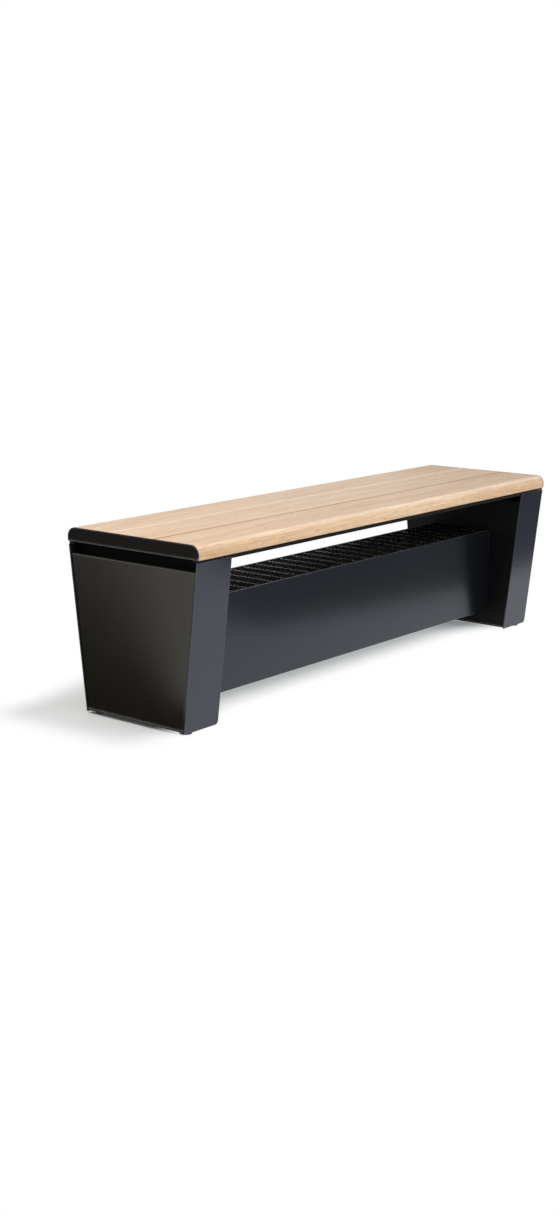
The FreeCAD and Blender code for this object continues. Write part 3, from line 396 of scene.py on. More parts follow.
def oak(name, size, board):
    material, root = newTree(name)
    bare = objectPlace(root)
    place = mapped(root, bare, board["shift"])
    wander = noise(root, mapped(root, place, scale=size["wanderScale"]), 1.0) - 0.5
    # growth rings: the distance from a line beside the board, counted in ring widths
    across = axisOf(root, place, "Y") - board["pith"][0] + wander * size["ringWander"][0]
    height = axisOf(root, place, "Z") + board["pith"][1] + wander * size["ringWander"][1]
    distance = (across * across + height * height) ** 0.5
    late = between(root, root.maths("FRACT", distance / size["ringPitch"]), *size["lateStep"])
    streak = noise(root, mapped(root, place, scale=size["streakScale"]), 1.0, 4.0, 0.6)
    band = noise(root, mapped(root, place, scale=size["bandScale"]), 1.0)
    pores = noise(root, mapped(root, place, scale=size["poreScale"]), 1.0, 1.0)
    poreRow = between(root, pores, *size["poreStep"]) * (1.0 - 0.75 * late)
    rays = noise(root, mapped(root, place, scale=size["fleckScale"]), 1.0, 1.0, 0.4, 0.3)
    fleck = between(root, rays, *size["fleckStep"])
    tone = between(root, streak * 0.6 + band * 0.4 + board["warmth"], *size["toneStep"])
    colour = blended(root, tone, size["pale"], size["honey"])
    colour = blended(root, late * size["lateShare"], colour, size["honey"])
    colour = blended(root, fleck * size["fleckShare"], colour, size["fleck"])
    colour = blended(root, poreRow * size["poreShare"], colour, size["pore"])
    # a paler painted highlight along the back seam, grime and painted shade down in the front seam
    sideways = axisOf(root, bare, "Y")
    backSeam = root.maths("ABSOLUTE", sideways - size["seam"])
    frontSeam = root.maths("ABSOLUTE", sideways + size["seam"])
    ragged = streak - 0.5
    seamHighlightLine = backSeam + wander * size["seamHighlightRagged"][0] + ragged * size["seamHighlightRagged"][1]
    seamHighlightMask = between(root, seamHighlightLine, *size["seamHighlightStep"])
    colour = blended(root, seamHighlightMask * (0.2 + 0.7 * band), colour, size["seamHighlight"])
    # the front seam darkened: grime, and painted shade in the joint
    grimeAndShade = between(root, frontSeam + ragged * size["grimeAndShadeRagged"], *size["grimeAndShadeStep"])
    colour = blended(root, grimeAndShade * (0.25 + 0.45 * band), colour, size["grimeAndShade"])
    # no oil lies on the chamfers of the seams
    dull = between(root, root.maths("MINIMUM", backSeam, frontSeam), *size["dullStep"])
    rough = size["rough"] + 0.10 * streak + 0.14 * poreRow + 0.35 * dull
    rounded, edgeMask = softEdge(root, size["edgeRadius"])
    relief = late * 0.25 - poreRow * 0.9 + streak * 0.3
    colour = blended(root, edgeMask * size["wornShare"], colour, size["fleck"])
    closeTree(root, {"Base Color": colour, "Roughness": rough, "Normal": bumped(root, rounded, relief, size),
                     "Coat Weight": (size["oil"] + 0.15 * streak) * (1.0 - dull),
                     "Coat Roughness": size["oilRough"], "Specular IOR Level": size["shine"]})
    return material


for boardName, board in oakSet["boards"].items():
    dress(boardName, oak(f"oak_{boardName}", oakSet, board))
print("oak boards dressed")

# orange peel that all the powder coats share
peelSet = {
    "peelScale": 620.0,
    "grainScale": 2400.0,
    "cloudScale": 3.2,
    "cloudStep": (0.3, 0.7),
    "tones": (0.86, 1.14),
    "speckScale": 900.0,
    "speckStep": (0.74, 0.80),
    "speckShare": 0.06,
    "bump": 0.16,
    "depth": 0.0002,
}

# powder coats in several tones and glosses; the blue of the strip and casing coats and the warm tint of the
# end panel coat are painted light, cool on the fronts and warm on the ends
coatSet = {
    "stripCoat": {
        "nodes": [f"{corner}_leg_strip" for corner in cornerNames],
        # blue colour and specular tint: painted cool light on the fronts
        "colour": screen(25, 27, 34), "rough": 0.20, "shine": 0.72, "tint": (0.77, 0.85, 1.0, 1),
        "edge": screen(150, 152, 156), "edgeRadius": 0.0010,
    },
    "casingCoat": {
        "nodes": ["front_casing_panel", "back_casing_panel"],
        # blue colour and specular tint: painted cool light on the fronts
        "colour": screen(14, 15, 19), "rough": 0.20, "shine": 0.65, "tint": (0.75, 0.84, 1.0, 1),
        "edge": screen(150, 152, 156), "edgeRadius": 0.0010,
    },
    "charcoalCoat": {
        "nodes": ["left_end_panel", "right_end_panel"],
        # warm colour and specular tint: painted warm light on the ends
        "colour": screen(22, 20, 15), "rough": 0.23, "shine": 0.60, "tint": (1.0, 0.95, 0.84, 1),
        "edge": screen(130, 126, 118), "edgeRadius": 0.0010,
    },
    "capCoat": {
        "nodes": ["left_end_cap", "right_end_cap"],
        "colour": screen(9, 7, 6), "rough": 0.52, "shine": 0.11, "tint": (1.0, 0.96, 0.9, 1),
        # the pale, wide edge is a painted highlight, strongest along the cap's lower edge
        "edge": screen(178, 174, 168), "edgeRadius": 0.0060,
        "edgeTop": 0.424, "edgeFade": 0.002, "upperHighlightShare": 0.15,
    },
    "plateCoat": {
        "nodes": ["left_base_plate", "right_base_plate"],
        "colour": screen(30, 29, 27), "rough": 0.40, "shine": 0.40, "tint": (1, 1, 1, 1),
        # the pale, wide edge is a painted highlight along the plate's edge
        "edge": screen(176, 173, 168), "edgeRadius": 0.0022,
    },
    "slotCoat": {
        "nodes": ["left_top_plate", "right_top_plate"],
        # black paint, darkened further and nearly without shine: painted shade of the slot
        "colour": screen(7, 6, 6), "rough": 0.60, "shine": 0.04, "tint": (1, 1, 1, 1),
        "edge": screen(30, 29, 28), "edgeRadius": 0.0008,
    },
    "blackCoat": {
        "nodes": ["front_seat_rail", "back_seat_rail", "seat_cross_bars", "seat_edge_bars",
                  "left_inner_panel", "right_inner_panel", "intake_plate", "grille_ledges"],
        # black paint, darkened further: painted shade under the seat
        "colour": screen(11, 10, 10), "rough": 0.50, "shine": 0.14, "tint": (1, 1, 1, 1),
        "edge": screen(70, 68, 65), "edgeRadius": 0.0009,
    },
    "grilleCoat": {
        "nodes": ["grille_frame"],
        # black paint, darkened further: painted shade under the seat
        "colour": screen(5, 5, 4), "rough": 0.50, "shine": 0.18, "tint": (1, 1, 1, 1),
        "edge": screen(42, 40, 38), "edgeRadius": 0.0006,
    },
    "bladeCoat": {
        "nodes": ["grille_blades"],
        # black paint, darkened further: painted shade under the seat
        "colour": screen(6, 5, 5), "rough": 0.50, "shine": 0.09, "tint": (1, 1, 1, 1),
        "edge": screen(42, 40, 38), "edgeRadius": 0.0006,
        "weldPitch": 0.05, "weldHalf": 0.0017, "weldFade": 0.0004,
        "weldTop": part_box("grille_blades")[1][2], "weldSkin": (0.0003, 0.0001),
        "weldColour": (0.90, 0.89, 0.87, 1), "weldRough": 0.24,
    },
}


def powderCoat(name, size):
    material, root = newTree(name)
    place = objectPlace(root)
    peel = noise(root, place, peelSet["peelScale"], 2.0, 0.55)
    grain = noise(root, place, peelSet["grainScale"], 1.0)
    cloud = noise(root, place, peelSet["cloudScale"], 4.0, 0.6)
    speck = between(root, noise(root, place, peelSet["speckScale"], 0.0), *peelSet["speckStep"])
    dark, pale = (toned(size["colour"], share) for share in peelSet["tones"])
    colour = blended(root, between(root, cloud, *peelSet["cloudStep"]), dark, pale)
    rounded, edgeMask = softEdge(root, size["edgeRadius"])
    if "edgeTop" in size:
        # on the caps the pale edge is a painted highlight, strongest along the lower edge
        fadeTo = size["edgeTop"] - size["edgeFade"]
        edgeMask = edgeMask * between(root, axisOf(root, place, "Z"), size["edgeTop"], fadeTo, size["upperHighlightShare"], 1.0)
    # pale edges: wear, and on the caps and base plates a painted highlight
    colour = blended(root, edgeMask * (0.35 + 0.65 * peel), colour, size["edge"])
    colour = blended(root, speck * peelSet["speckShare"], colour, size["edge"])
    rough = size["rough"] - 0.03 + 0.05 * cloud + 0.03 * grain
    metal = 0.0
    if "weldPitch" in size:
        # bare weld spots on the tops of the blades, over each cross bar
        toBar = root.maths("PINGPONG", axisOf(root, place, "X"), size["weldPitch"] / 2)
        spot = between(root, toBar, size["weldHalf"], size["weldHalf"] - size["weldFade"])
        skinFrom, skinTo = (size["weldTop"] - deep for deep in size["weldSkin"])
        metal = spot * between(root, axisOf(root, place, "Z"), skinFrom, skinTo)
        colour = blended(root, metal, colour, size["weldColour"])
        rough = rough * (1.0 - metal) + size["weldRough"] * metal
    closeTree(root, {"Base Color": colour, "Roughness": rough, "Metallic": metal,
                     "Normal": bumped(root, rounded, peel + 0.35 * grain, peelSet),
                     "Specular IOR Level": size["shine"], "Specular Tint": size["tint"]})
    return material


coats = dressAll(coatSet, powderCoat)
print("powder coats dressed")

# spangle and haze that all the plated and bare metals share
spangleSet = {
    "cloudScale": 35.0,
    "cloudStep": (0.3, 0.75),
    "grainScale": 900.0,
    "edgeRadius": 0.0004,
    "bump": 0.10,
    "depth": 0.0001,
}

# plated and bare metals
metalSet = {
    "zincPlate": {
        "nodes": ["board_screws", "panel_hinge_pins", "foot_nuts", "lid_screws", "element_brackets",
                  "element_core", *(f"{corner}_foot_stud" for corner in cornerNames)],
        "colour": (0.58, 0.58, 0.56, 1), "tint": (0.66, 0.62, 0.50, 1), "rough": 0.34, "spangle": 260.0,
    },
    "blackZinc": {
        "nodes": ["cap_screws", "seat_bolts", "rail_nuts", "casing_bolts"],
        "colour": (0.035, 0.035, 0.037, 1), "tint": (0.07, 0.066, 0.06, 1), "rough": 0.45, "spangle": 300.0,
    },
    "barZinc": {
        "nodes": ["grille_cross_bars"],
        "colour": (0.72, 0.71, 0.69, 1), "tint": (0.64, 0.63, 0.61, 1), "rough": 0.26, "spangle": 240.0,
    },
    "magnetPlate": {
        "nodes": ["panel_magnets"],
        "colour": (0.42, 0.42, 0.43, 1), "tint": (0.50, 0.50, 0.50, 1), "rough": 0.28, "spangle": 120.0,
    },
    "finAluminium": {
        "nodes": ["heating_element"],
        "colour": (0.72, 0.72, 0.73, 1), "tint": (0.60, 0.58, 0.55, 1), "rough": 0.42, "spangle": 60.0,
    },
}


def platedMetal(name, size):
    material, root = newTree(name)
    place = objectPlace(root)
    cells = root.grow("ShaderNodeTexVoronoi", {}, {"Vector": place, "Scale": size["spangle"]}, "Color")
    spangle = root.grow("ShaderNodeSeparateColor", {}, {"Color": cells}, "Red")
    cloud = noise(root, place, spangleSet["cloudScale"], 3.0, 0.6)
    haze = between(root, cloud * 0.7 + spangle * 0.3, *spangleSet["cloudStep"])
    colour = blended(root, haze, size["colour"], size["tint"])
    rounded, edgeMask = softEdge(root, spangleSet["edgeRadius"])
    rough = size["rough"] - 0.06 + 0.12 * spangle + 0.10 * cloud - 0.08 * edgeMask
    relief = spangle * 0.4 + noise(root, place, spangleSet["grainScale"])
    closeTree(root, {"Base Color": colour, "Roughness": rough, "Metallic": 1.0,
                     "Normal": bumped(root, rounded, relief, spangleSet)})
    return material


metals = dressAll(metalSet, platedMetal)
print("metals dressed")

# clouding and edge wear that all the moulded pieces share
mouldWear = {
    "cloudScale": 24.0,
    "cloudStep": (0.3, 0.75),
    "edgeRadius": 0.0005,
    "wornColour": (0.5, 0.5, 0.5, 1),
    "wornShare": 0.25,
}

# moulded plastics, rubber and ceramic
mouldSet = {
    "footPlastic": {
        "nodes": [f"{corner}_foot_pad" for corner in cornerNames],
        "colour": screen(26, 26, 26), "other": screen(40, 39, 37),
        "rough": 0.55, "grain": 800.0, "bump": 0.25, "depth": 0.00015,
    },
    "greyPlastic": {
        "nodes": ["control_box", "control_box_lid", "thermostat", "supply_gland", "overheat_cutout"],
        "colour": screen(176, 178, 180), "other": screen(160, 161, 162),
        "rough": 0.48, "grain": 1100.0, "bump": 0.25, "depth": 0.0001,
    },
    "blackPlastic": {
        "nodes": ["thermostat_knob", "switch_housing"],
        "colour": screen(33, 33, 34), "other": screen(46, 46, 47),
        "rough": 0.40, "grain": 1300.0, "bump": 0.25, "depth": 0.0001,
    },
    "redPlastic": {
        "nodes": ["switch_rocker"],
        "colour": screen(178, 34, 26), "other": screen(150, 24, 20),
        "rough": 0.24, "grain": 300.0, "bump": 0.25, "depth": 0.00003,
    },
    "blackRubber": {
        "nodes": ["base_grommet", "cable_grommet", "element_cable"],
        "colour": screen(30, 30, 30), "other": screen(48, 47, 45),
        "rough": 0.68, "grain": 500.0, "bump": 0.25, "depth": 0.0002,
    },
    "markPlastic": {
        "nodes": [],  # only on the pointer and the switch marks below
        "colour": screen(226, 226, 224), "other": screen(210, 210, 207),
        "rough": 0.45, "grain": 900.0, "bump": 0.25, "depth": 0.00005,
    },
    "bushCeramic": {
        "nodes": ["ceramic_bushes"],
        "colour": screen(228, 221, 206), "other": screen(204, 194, 175),
        "rough": 0.55, "grain": 420.0, "bump": 0.25, "depth": 0.00012,
    },
}


def moulded(name, size):
    material, root = newTree(name)
    place = objectPlace(root)
    grain = noise(root, place, size["grain"], 2.0, 0.6)
    cloud = noise(root, place, mouldWear["cloudScale"], 3.0, 0.6)
    rounded, edgeMask = softEdge(root, mouldWear["edgeRadius"])
    colour = blended(root, between(root, cloud, *mouldWear["cloudStep"]), size["colour"], size["other"])
    colour = blended(root, edgeMask * mouldWear["wornShare"], colour, mouldWear["wornColour"])
    rough = size["rough"] - 0.06 + 0.08 * cloud + 0.08 * grain
    closeTree(root, {"Base Color": colour, "Roughness": rough, "Normal": bumped(root, rounded, grain, size)})
    return material


moulds = dressAll(mouldSet, moulded)
print("plastics, rubber and ceramic dressed")


def cellCorners(rows, columns, wrapRows, wrapColumns):
    # vertex numbers round every cell of a grid; a wrapped side joins its last line to its first
    down, over = np.arange(rows - (not wrapRows)), np.arange(columns - (not wrapColumns))
    i, j = np.meshgrid(down, over, indexing="ij")
    below, beside = (i + 1) % rows, (j + 1) % columns
    corners = [i * columns + j, i * columns + beside, below * columns + beside, below * columns + j]
    return np.stack(corners, axis=-1).reshape(-1, 4)


def surfacePiece(name, sheets, body, material, stands=(), crease=38):
    # one mesh from grids of points, each with whether its rows and its columns close on themselves
    spots, cells, start = [], [], 0
    for points, wrapRows, wrapColumns in sheets:
        rows, columns = points.shape[:2]
        cells.append(cellCorners(rows, columns, wrapRows, wrapColumns) + start)
        spots.append(points.reshape(-1, 3))
        start += rows * columns
    mesh = bpy.data.meshes.new(name)
    mesh.from_pydata(np.concatenate(spots).tolist(), [], np.concatenate(cells).tolist())
    shape = bmesh.new()
    shape.from_mesh(mesh)
    bmesh.ops.remove_doubles(shape, verts=shape.verts, dist=1e-6)
    bmesh.ops.recalc_face_normals(shape, faces=shape.faces)
    shape.to_mesh(mesh)
    shape.free()
    mesh.polygons.foreach_set("use_smooth", np.ones(len(mesh.polygons), dtype=bool))
    mesh.set_sharp_from_angle(angle=math.radians(crease))
    mesh.materials.append(material)
    piece = bpy.data.objects.new(name, mesh)
    bpy.context.scene.collection.objects.link(piece)
    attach(piece, body)
    if stands:
        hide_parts(*stands)


# ahead, side and top of a turned piece, for each way that its axis can point
turnFrames = {
    "left": ((-1, 0, 0), (0, 1, 0), (0, 0, 1)),
    "along": ((1, 0, 0), (0, 1, 0), (0, 0, 1)),
    "up": ((0, 0, 1), (1, 0, 0), (0, 1, 0)),
}


def roundAngles(columns):
    # even angles once round a circle, without the last one that would meet the first
    return np.linspace(0, 2 * np.pi, columns, endpoint=False)


def turnedSheet(centre, way, along, radius):
    # a turned surface: each row stands at a distance along the axis, with a radius for every angle
    ahead, side, top = (np.array(part, dtype=float) for part in turnFrames[way])
    spin = roundAngles(radius.shape[1])
    around = np.cos(spin)[:, None] * side + np.sin(spin)[:, None] * top
    return np.array(centre) + along[..., None] * ahead + radius[..., None] * around


def signedPower(values, power):
    # a power of each value's size, with its sign kept
    return np.sign(values) * np.abs(values) ** power


def pillow(half, power, rows=9, columns=16):
    # a superellipsoid: half sizes times powers of the sines and cosines of a latitude and a longitude
    rise = np.linspace(-np.pi / 2, np.pi / 2, rows)[:, None]
    spin = roundAngles(columns)[None, :]
    flat = signedPower(np.cos(rise), power)
    parts = [flat * signedPower(np.cos(spin), power), flat * signedPower(np.sin(spin), power),
             signedPower(np.sin(rise), power) * np.ones_like(spin)]
    return np.stack(parts, axis=-1) * np.array(half)


# thermostat knob with a fluted grip, and its raised pointer; the profile is distance along and radius
knobSet = {
    "centre": (-0.702, -0.034, 0.235),
    "profile": [(-0.016, 0.0), (-0.016, 0.003), (0.0, 0.003), (0.0, 0.0192), (0.0006, 0.0199),
                (0.0026, 0.0199), (0.0034, 0.0193), (0.0040, 0.0180), (0.0048, 0.0178), (0.0070, 0.0176),
                (0.0100, 0.0173), (0.0128, 0.0170), (0.0142, 0.0163), (0.0150, 0.0150), (0.0154, 0.0132),
                (0.0154, 0.0110), (0.0151, 0.0060), (0.0150, 0.0)],
    "flutes": 22,
    "fluteColumns": 8,
    "fluteDepth": 0.0011,
    "fluteFrom": 0.0036,
    "fluteTo": 0.0150,
    "pointerAt": (-0.7173, -0.034, 0.2465),
    "pointerHalf": (0.0007, 0.0009, 0.0058),
    "pointerPower": 0.4,
}


def makeKnob(size):
    # a turned profile; along the grip its radius dips by a squared raised cosine, once for each flute
    profile = np.array(size["profile"])
    spin = roundAngles(size["flutes"] * size["fluteColumns"])
    fluted = (profile[:, 0] > size["fluteFrom"]) & (profile[:, 0] < size["fluteTo"])
    dip = size["fluteDepth"] * (0.5 + 0.5 * np.cos(size["flutes"] * spin)) ** 2
    radius = profile[:, 1:] - fluted[:, None] * dip
    knob = turnedSheet(size["centre"], "left", profile[:, :1], radius)
    surfacePiece("fluted_knob", [(knob, False, True)], "thermostat_dial",
                 moulds["blackPlastic"], ["thermostat_knob"])
    bar = pillow(size["pointerHalf"], size["pointerPower"]) + np.array(size["pointerAt"])
    surfacePiece("knob_pointer", [(bar, False, True)], "thermostat_dial",
                 moulds["markPlastic"])


# raised heat scale round the knob: a band that widens clockwise, and a dot for each step
scaleSet = {
    "centre": (-0.7015, -0.034, 0.235),
    "ring": 0.0240,
    "sweep": 270,
    "thin": 0.0003,
    "thick": 0.0012,
    "proud": 0.00025,
    "rows": 64,
    "sectionColumns": 10,
    "dots": 10,
    "dotRing": 0.0282,
    "dotSize": 0.0008,
    "dotGrid": (7, 12),
}


def roundKnob(size, angle, ring):
    # a place on the lid, by a clockwise angle from the top and a distance from the knob's axis
    across = np.stack(np.broadcast_arrays(0.0, -np.sin(angle), np.cos(angle)), axis=-1)
    return np.array(size["centre"]) + ring[..., None] * across


def makeScale(size):
    # an oval section carried round an arc; its width grows evenly and closes at both ends
    share = np.linspace(0, 1, size["rows"])[:, None]
    section = roundAngles(size["sectionColumns"])[None, :]
    wide = (size["thin"] + (size["thick"] - size["thin"]) * share) * (share > 0) * (share < 1)
    angle = np.radians(size["sweep"]) * share
    band = roundKnob(size, angle * np.ones_like(section), size["ring"] + wide * np.cos(section))
    band[..., 0] -= size["proud"] * np.sin(section) * (wide > 0)
    sheets = [(band, False, True)]
    # each dot is a flat ellipsoid
    dot = pillow((size["proud"], size["dotSize"], size["dotSize"]), 1.0, *size["dotGrid"])
    for angle in np.radians(np.linspace(0, size["sweep"], size["dots"])):
        sheets.append((dot + roundKnob(size, np.array(angle), np.array(size["dotRing"])), False, True))
    surfacePiece("heat_scale", sheets, "bench", moulds["blackPlastic"])


# switch marks: a bar on the upper half of the rocker and a ring on the lower half
rockerSet = {
    "axis": (-0.690, 0.038, 0.235),
    "radius": 0.015,
    "tilt": 10,
    "barAt": 0.0052,
    "barHalf": (0.0017, 0.0006, 0.00025),
    "barPower": 0.5,
    "ringAt": -0.0052,
    "ringRadius": 0.0017,
    "ringTube": (0.00045, 0.00025),
    "ringRows": 28,
    "tubeColumns": 10,
}


def onRocker(size, arc, across, rise):
    # a place on the rocker's round face: distance along the arc, sideways, and above the face
    angle = np.radians(size["tilt"]) + arc / size["radius"]
    reach = size["radius"] + rise
    flat = np.broadcast_arrays(-reach * np.cos(angle), across, reach * np.sin(angle))
    return np.array(size["axis"]) + np.stack(flat, axis=-1)


def makeSwitchMarks(size):
    # a superellipsoid for the bar and a torus of oval section for the ring, both bent onto the round face
    bar = pillow(size["barHalf"], size["barPower"])
    bar = onRocker(size, bar[..., 0] + size["barAt"], bar[..., 1], bar[..., 2])
    spin = roundAngles(size["ringRows"])[:, None]
    section = roundAngles(size["tubeColumns"])[None, :]
    reach = size["ringRadius"] + size["ringTube"][0] * np.cos(section)
    ring = onRocker(size, size["ringAt"] + reach * np.cos(spin), reach * np.sin(spin),
                    size["ringTube"][1] * np.sin(section))
    surfacePiece("switch_marks", [(bar, False, True), (ring, True, True)], "rocker",
                 moulds["markPlastic"])


# lid screws with domed heads and a cross recess
screwSet = {
    "places": [(-0.7015, end * 0.067, high) for end in (-1, 1) for high in (0.188, 0.272)],
    "shank": 0.002,
    "depth": 0.014,
    "head": 0.0039,
    "rim": 0.0007,
    "dome": 0.0017,
    "recess": 0.0011,
    "armWidth": 0.0005,
    "armLength": 0.0022,
    "armSide": 0.0003,
    "armEnd": 0.0004,
    "rings": 15,
    "columns": 72,
    "crease": 30,
}


def makeLidScrews(size):
    # a turned head whose height is a parabola of the radius, less the recess inside the arms of the cross
    columns = size["columns"]
    spin = roundAngles(columns)[None, :]
    reach = np.linspace(1, 0, size["rings"])[:, None] * size["head"]
    u, v = np.abs(reach * np.cos(spin)), np.abs(reach * np.sin(spin))
    arms = []
    for aside, out in ((u, v), (v, u)):
        inWidth = np.clip((size["armWidth"] - aside) / size["armSide"] + 0.5, 0, 1)
        arms.append(inWidth * np.clip((size["armLength"] - out) / size["armEnd"], 0, 1))
    dome = size["dome"] * (1 - (reach / size["head"]) ** 2)
    height = size["rim"] + dome - size["recess"] * np.maximum(*arms)
    low, shank = -size["depth"], size["shank"]
    lower = np.array([(low, 0), (low, shank), (0, shank), (0, size["head"])])
    along = np.concatenate([np.repeat(lower[:, :1], columns, axis=1), height])
    radius = np.concatenate([np.repeat(lower[:, 1:], columns, axis=1), np.repeat(reach, columns, axis=1)])
    sheets = [(turnedSheet(place, "left", along, radius), False, True) for place in size["places"]]
    surfacePiece("cross_screws", sheets, "bench", metals["zincPlate"], ["lid_screws"],
                 size["crease"])


# threaded studs of the feet
studSet = {
    "places": {f"{side}_{end}": (x, y, 0.0) for side, x in (("left", -0.721), ("right", 0.721))
               for end, y in (("front", -0.137), ("back", 0.137))},
    "low": 0.003,
    "threadFrom": 0.010,
    "high": 0.044,
    "radius": 0.005,
    "pitch": 0.0015,
    "threadDepth": 0.0008,
    "chamfer": 0.0012,
    "columns": 24,
    "turnRows": 8,
    "crease": 60,
}


def makeStuds(size):
    # a turned rod; its radius falls and rises evenly once in each turn of a helix, and tapers at the top
    spin = roundAngles(size["columns"])[None, :]
    rows = int((size["high"] - size["threadFrom"]) / size["pitch"] * size["turnRows"])
    height = np.concatenate([[size["low"]], np.linspace(size["threadFrom"], size["high"], rows)])[:, None]
    turn = height / size["pitch"] - spin / (2 * np.pi)
    dip = size["threadDepth"] * (1 - np.abs(2 * (turn % 1) - 1)) * (height > size["threadFrom"])
    radius = np.minimum(size["radius"] - dip, size["radius"] - size["chamfer"] + size["high"] - height)
    along = np.concatenate([height[:1], height, height[-1:]])
    radius = np.concatenate([radius[:1] * 0, radius, radius[-1:] * 0])
    for name, place in size["places"].items():
        surfacePiece(f"{name}_threaded_stud", [(turnedSheet(place, "up", along, radius), False, True)],
                     f"{name}_foot", metals["zincPlate"], [f"{name}_foot_stud"], size["crease"])


# supply gland: ribbed nut below, six flats above it, thread inside the box, and an open bore
glandSet = {
    "centre": (-0.6675, 0.040, 0.180),
    "profile": [(-0.020, 0.0060), (-0.020, 0.0084), (-0.0194, 0.0094), (-0.0180, 0.0103),
                (-0.0165, 0.0109), (-0.0100, 0.0109), (-0.0092, 0.0104), (-0.0092, 0.0096),
                (-0.0086, 0.0096), (-0.0086, 0.0109), (0.0, 0.0109), (0.0, 0.0079), (0.009, 0.0079),
                (0.009, 0.0060)],
    "outerFrom": 0.0100,
    "ribs": 20,
    "ribColumns": 9,
    "ribDepth": 0.0009,
    "ribFrom": -0.0185,
    "ribTo": -0.0095,
    "flatFrom": -0.0088,
    "flats": 6,
}


def makeGland(size):
    # a turned profile; on the nut its radius dips by a raised cosine for each rib, and above it follows a
    # hexagon: the cosine of half a flat's angle over the cosine of the angle from the flat's middle
    profile = np.array(size["profile"])
    spin = roundAngles(size["ribs"] * size["ribColumns"])
    outer = profile[:, 1] > size["outerFrom"]
    ribbed = outer & (profile[:, 0] > size["ribFrom"]) & (profile[:, 0] < size["ribTo"])
    flatted = outer & (profile[:, 0] >= size["flatFrom"])
    wedge = np.pi / size["flats"]
    hexagon = np.cos(wedge) / np.cos((spin + wedge) % (2 * wedge) - wedge)
    dip = size["ribDepth"] * (0.5 + 0.5 * np.cos(size["ribs"] * spin))
    radius = np.where(flatted[:, None], profile[:, 1:] * hexagon, profile[:, 1:] - ribbed[:, None] * dip)
    gland = turnedSheet(size["centre"], "up", profile[:, :1], radius)
    surfacePiece("ribbed_gland", [(gland, True, True)], "bench", moulds["greyPlastic"],
                 ["supply_gland"])


# heating element: a fluted tube with four corrugated wings
elementSet = {
    "axis": (0.0, 0.0, 0.130),
    "half": 0.52,
    "hub": 0.009,
    "bore": 0.0044,
    "flutes": 18,
    "fluteColumns": 6,
    "fluteDepth": 0.0006,
    "angles": (35, 145, 215, 325),
    "reach": 0.048,
    "sunk": 0.001,
    "sheet": 0.0006,
    "wave": 0.0009,
    "waveRamp": 0.012,
    "pitch": 0.016,
    "pitchRows": 8,
    "sectionColumns": 14,
    "sectionPower": 0.5,
    "crease": 50,
}


def makeElement(size):
    # tube: a turned ring whose radius dips by a raised cosine for each flute
    half = size["half"]
    spin = roundAngles(size["flutes"] * size["fluteColumns"])[None, :]
    outer = size["hub"] - size["fluteDepth"] * (0.5 + 0.5 * np.cos(size["flutes"] * spin))
    inner = np.full_like(spin, size["bore"])
    radius = np.concatenate([inner, outer, outer, inner])
    along = np.array([[-half], [-half], [half], [half]])
    sheets = [(turnedSheet(size["axis"], "along", along, radius), True, True)]
    # wings: a flat rounded section, pushed sideways by a sine of the distance that grows away from the tube
    rows = int(2 * half / size["pitch"] * size["pitchRows"]) + 1
    distance = np.linspace(-half, half, rows)
    distance = np.concatenate([distance[:1], distance, distance[-1:]])[:, None]
    whole = np.ones_like(distance)
    whole[[0, -1]] = 0
    section = roundAngles(size["sectionColumns"])[None, :]
    middle = (size["hub"] - size["sunk"] + size["reach"]) / 2
    out = middle + whole * (size["reach"] - middle) * signedPower(np.cos(section), size["sectionPower"])
    ramp = np.clip((out - size["hub"]) / size["waveRamp"], 0, 1)
    off = whole * size["sheet"] * signedPower(np.sin(section), size["sectionPower"])
    off = off + size["wave"] * ramp * np.sin(2 * np.pi * distance / size["pitch"])
    for angle in np.radians(size["angles"]):
        flat = np.broadcast_arrays(distance, out * np.cos(angle) - off * np.sin(angle),
                                   out * np.sin(angle) + off * np.cos(angle))
        sheets.append((np.array(size["axis"]) + np.stack(flat, axis=-1), False, True))
    surfacePiece("corrugated_element", sheets, "bench", metals["finAluminium"],
                 ["heating_element"], size["crease"])


# weld beads in the inside corners of each leg
weldSet = {
    "panelBack": 0.6375,
    "plateTop": 0.014,
    "outerEnd": 0.728,
    "lowHalf": 0.1564,
    "slope": 0.11656,
    "top": 0.378,
    "inset": 0.004,
    "radius": 0.0022,
    "swell": 0.0005,
    "ripple": 0.0032,
    "rippleRows": 4,
    "columns": 10,
    "aside": (0.31, 0.52, 0.79),  # along none of the beads
}


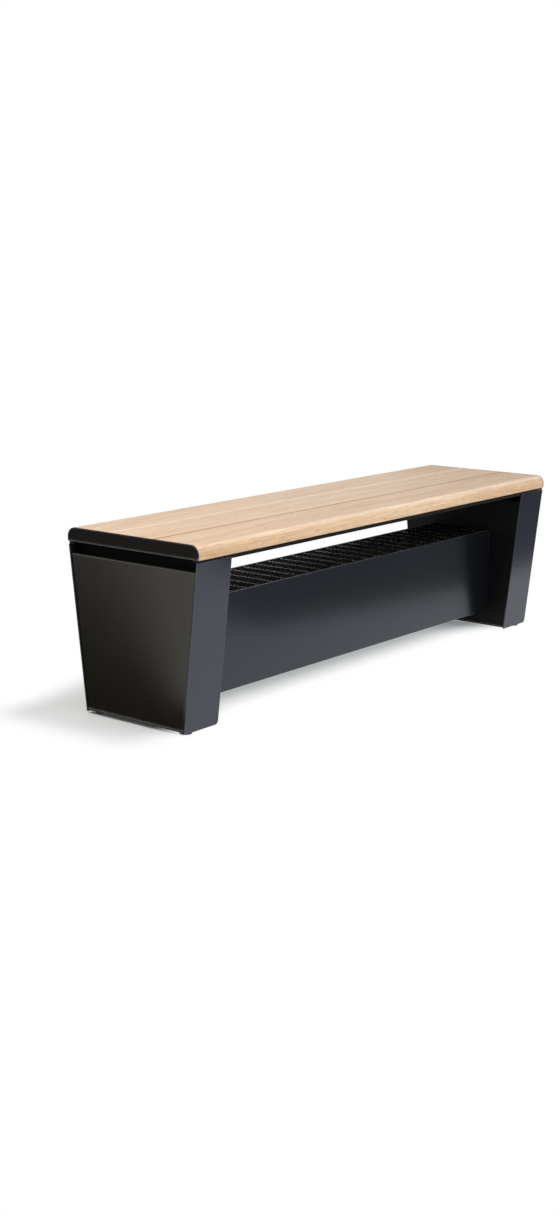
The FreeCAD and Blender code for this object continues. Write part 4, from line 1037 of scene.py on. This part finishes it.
def beadSheet(size, start, stop):
    # a round section along a straight line; its radius swells by the size of a sine, once for each ripple
    start, stop = np.array(start), np.array(stop)
    length = np.linalg.norm(stop - start)
    ahead = (stop - start) / length
    side = np.cross(ahead, size["aside"])
    side /= np.linalg.norm(side)
    top = np.cross(ahead, side)
    share = np.linspace(0, 1, int(length / size["ripple"] * size["rippleRows"]))
    share = np.concatenate([share[:1], share, share[-1:]])[:, None]
    ends = np.ones_like(share)
    ends[[0, -1]] = 0
    section = roundAngles(size["columns"])[None, :]
    swell = size["swell"] * np.abs(np.sin(np.pi * share * length / size["ripple"]))
    radius = ends * (size["radius"] + swell)
    offset = radius[..., None] * (np.cos(section)[..., None] * side + np.sin(section)[..., None] * top)
    return start + share[..., None] * (stop - start) + offset


def makeWelds(size):
    # one bead along the foot of the inner panel, and from each of its corners one upwards and one outwards
    foot, top, lowHalf = size["plateTop"], size["top"], size["lowHalf"]
    highHalf = lowHalf + size["slope"] * (top - foot)
    footHalf = lowHalf - size["inset"]
    for name, sign in (("left", -1), ("right", 1)):
        back, out = sign * size["panelBack"], sign * size["outerEnd"]
        lines = [((back, -footHalf, foot), (back, footHalf, foot))]
        for end in (-1, 1):
            corner = (back, end * lowHalf, foot)
            lines.append((corner, (back, end * highHalf, top)))
            lines.append((corner, (out, end * lowHalf, foot)))
        sheets = [(beadSheet(size, *line), False, True) for line in lines]
        surfacePiece(f"{name}_weld_beads", sheets, "bench", coats["blackCoat"])


# lead from the control box down to the end of the heating element
leadSet = {
    "route": [(-0.6485, 0.0, 0.230), (-0.6035, 0.0, 0.230), (-0.6035, 0.0, 0.130), (-0.555, 0.0, 0.130)],
    "radius": 0.0035,
    "curveShare": 0.812,
}


def makeLead(size):
    # a round section along a quadratic spline that the points of the route steer
    curve = bpy.data.curves.new("element_lead", "CURVE")
    curve.dimensions = "3D"
    curve.bevel_depth = size["radius"]
    curve.bevel_resolution = 4
    curve.use_fill_caps = True
    curve.resolution_u = 24
    spline = curve.splines.new("NURBS")
    spline.points.add(len(size["route"]) - 1)
    for point, place in zip(spline.points, size["route"]):
        point.co = (*place, 1)
    spline.order_u = 3
    spline.use_endpoint_u = True
    lead = bpy.data.objects.new("element_lead", curve)
    bpy.context.scene.collection.objects.link(lead)
    curve.materials.append(moulds["blackRubber"])
    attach(lead, "bench")
    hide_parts("element_cable")


makeKnob(knobSet)
makeScale(scaleSet)
makeSwitchMarks(rockerSet)
makeLidScrews(screwSet)
makeStuds(studSet)
makeGland(glandSet)
makeElement(elementSet)
makeWelds(weldSet)
makeLead(leadSet)
print("knob, marks, screws, studs, gland, element, welds and lead made")
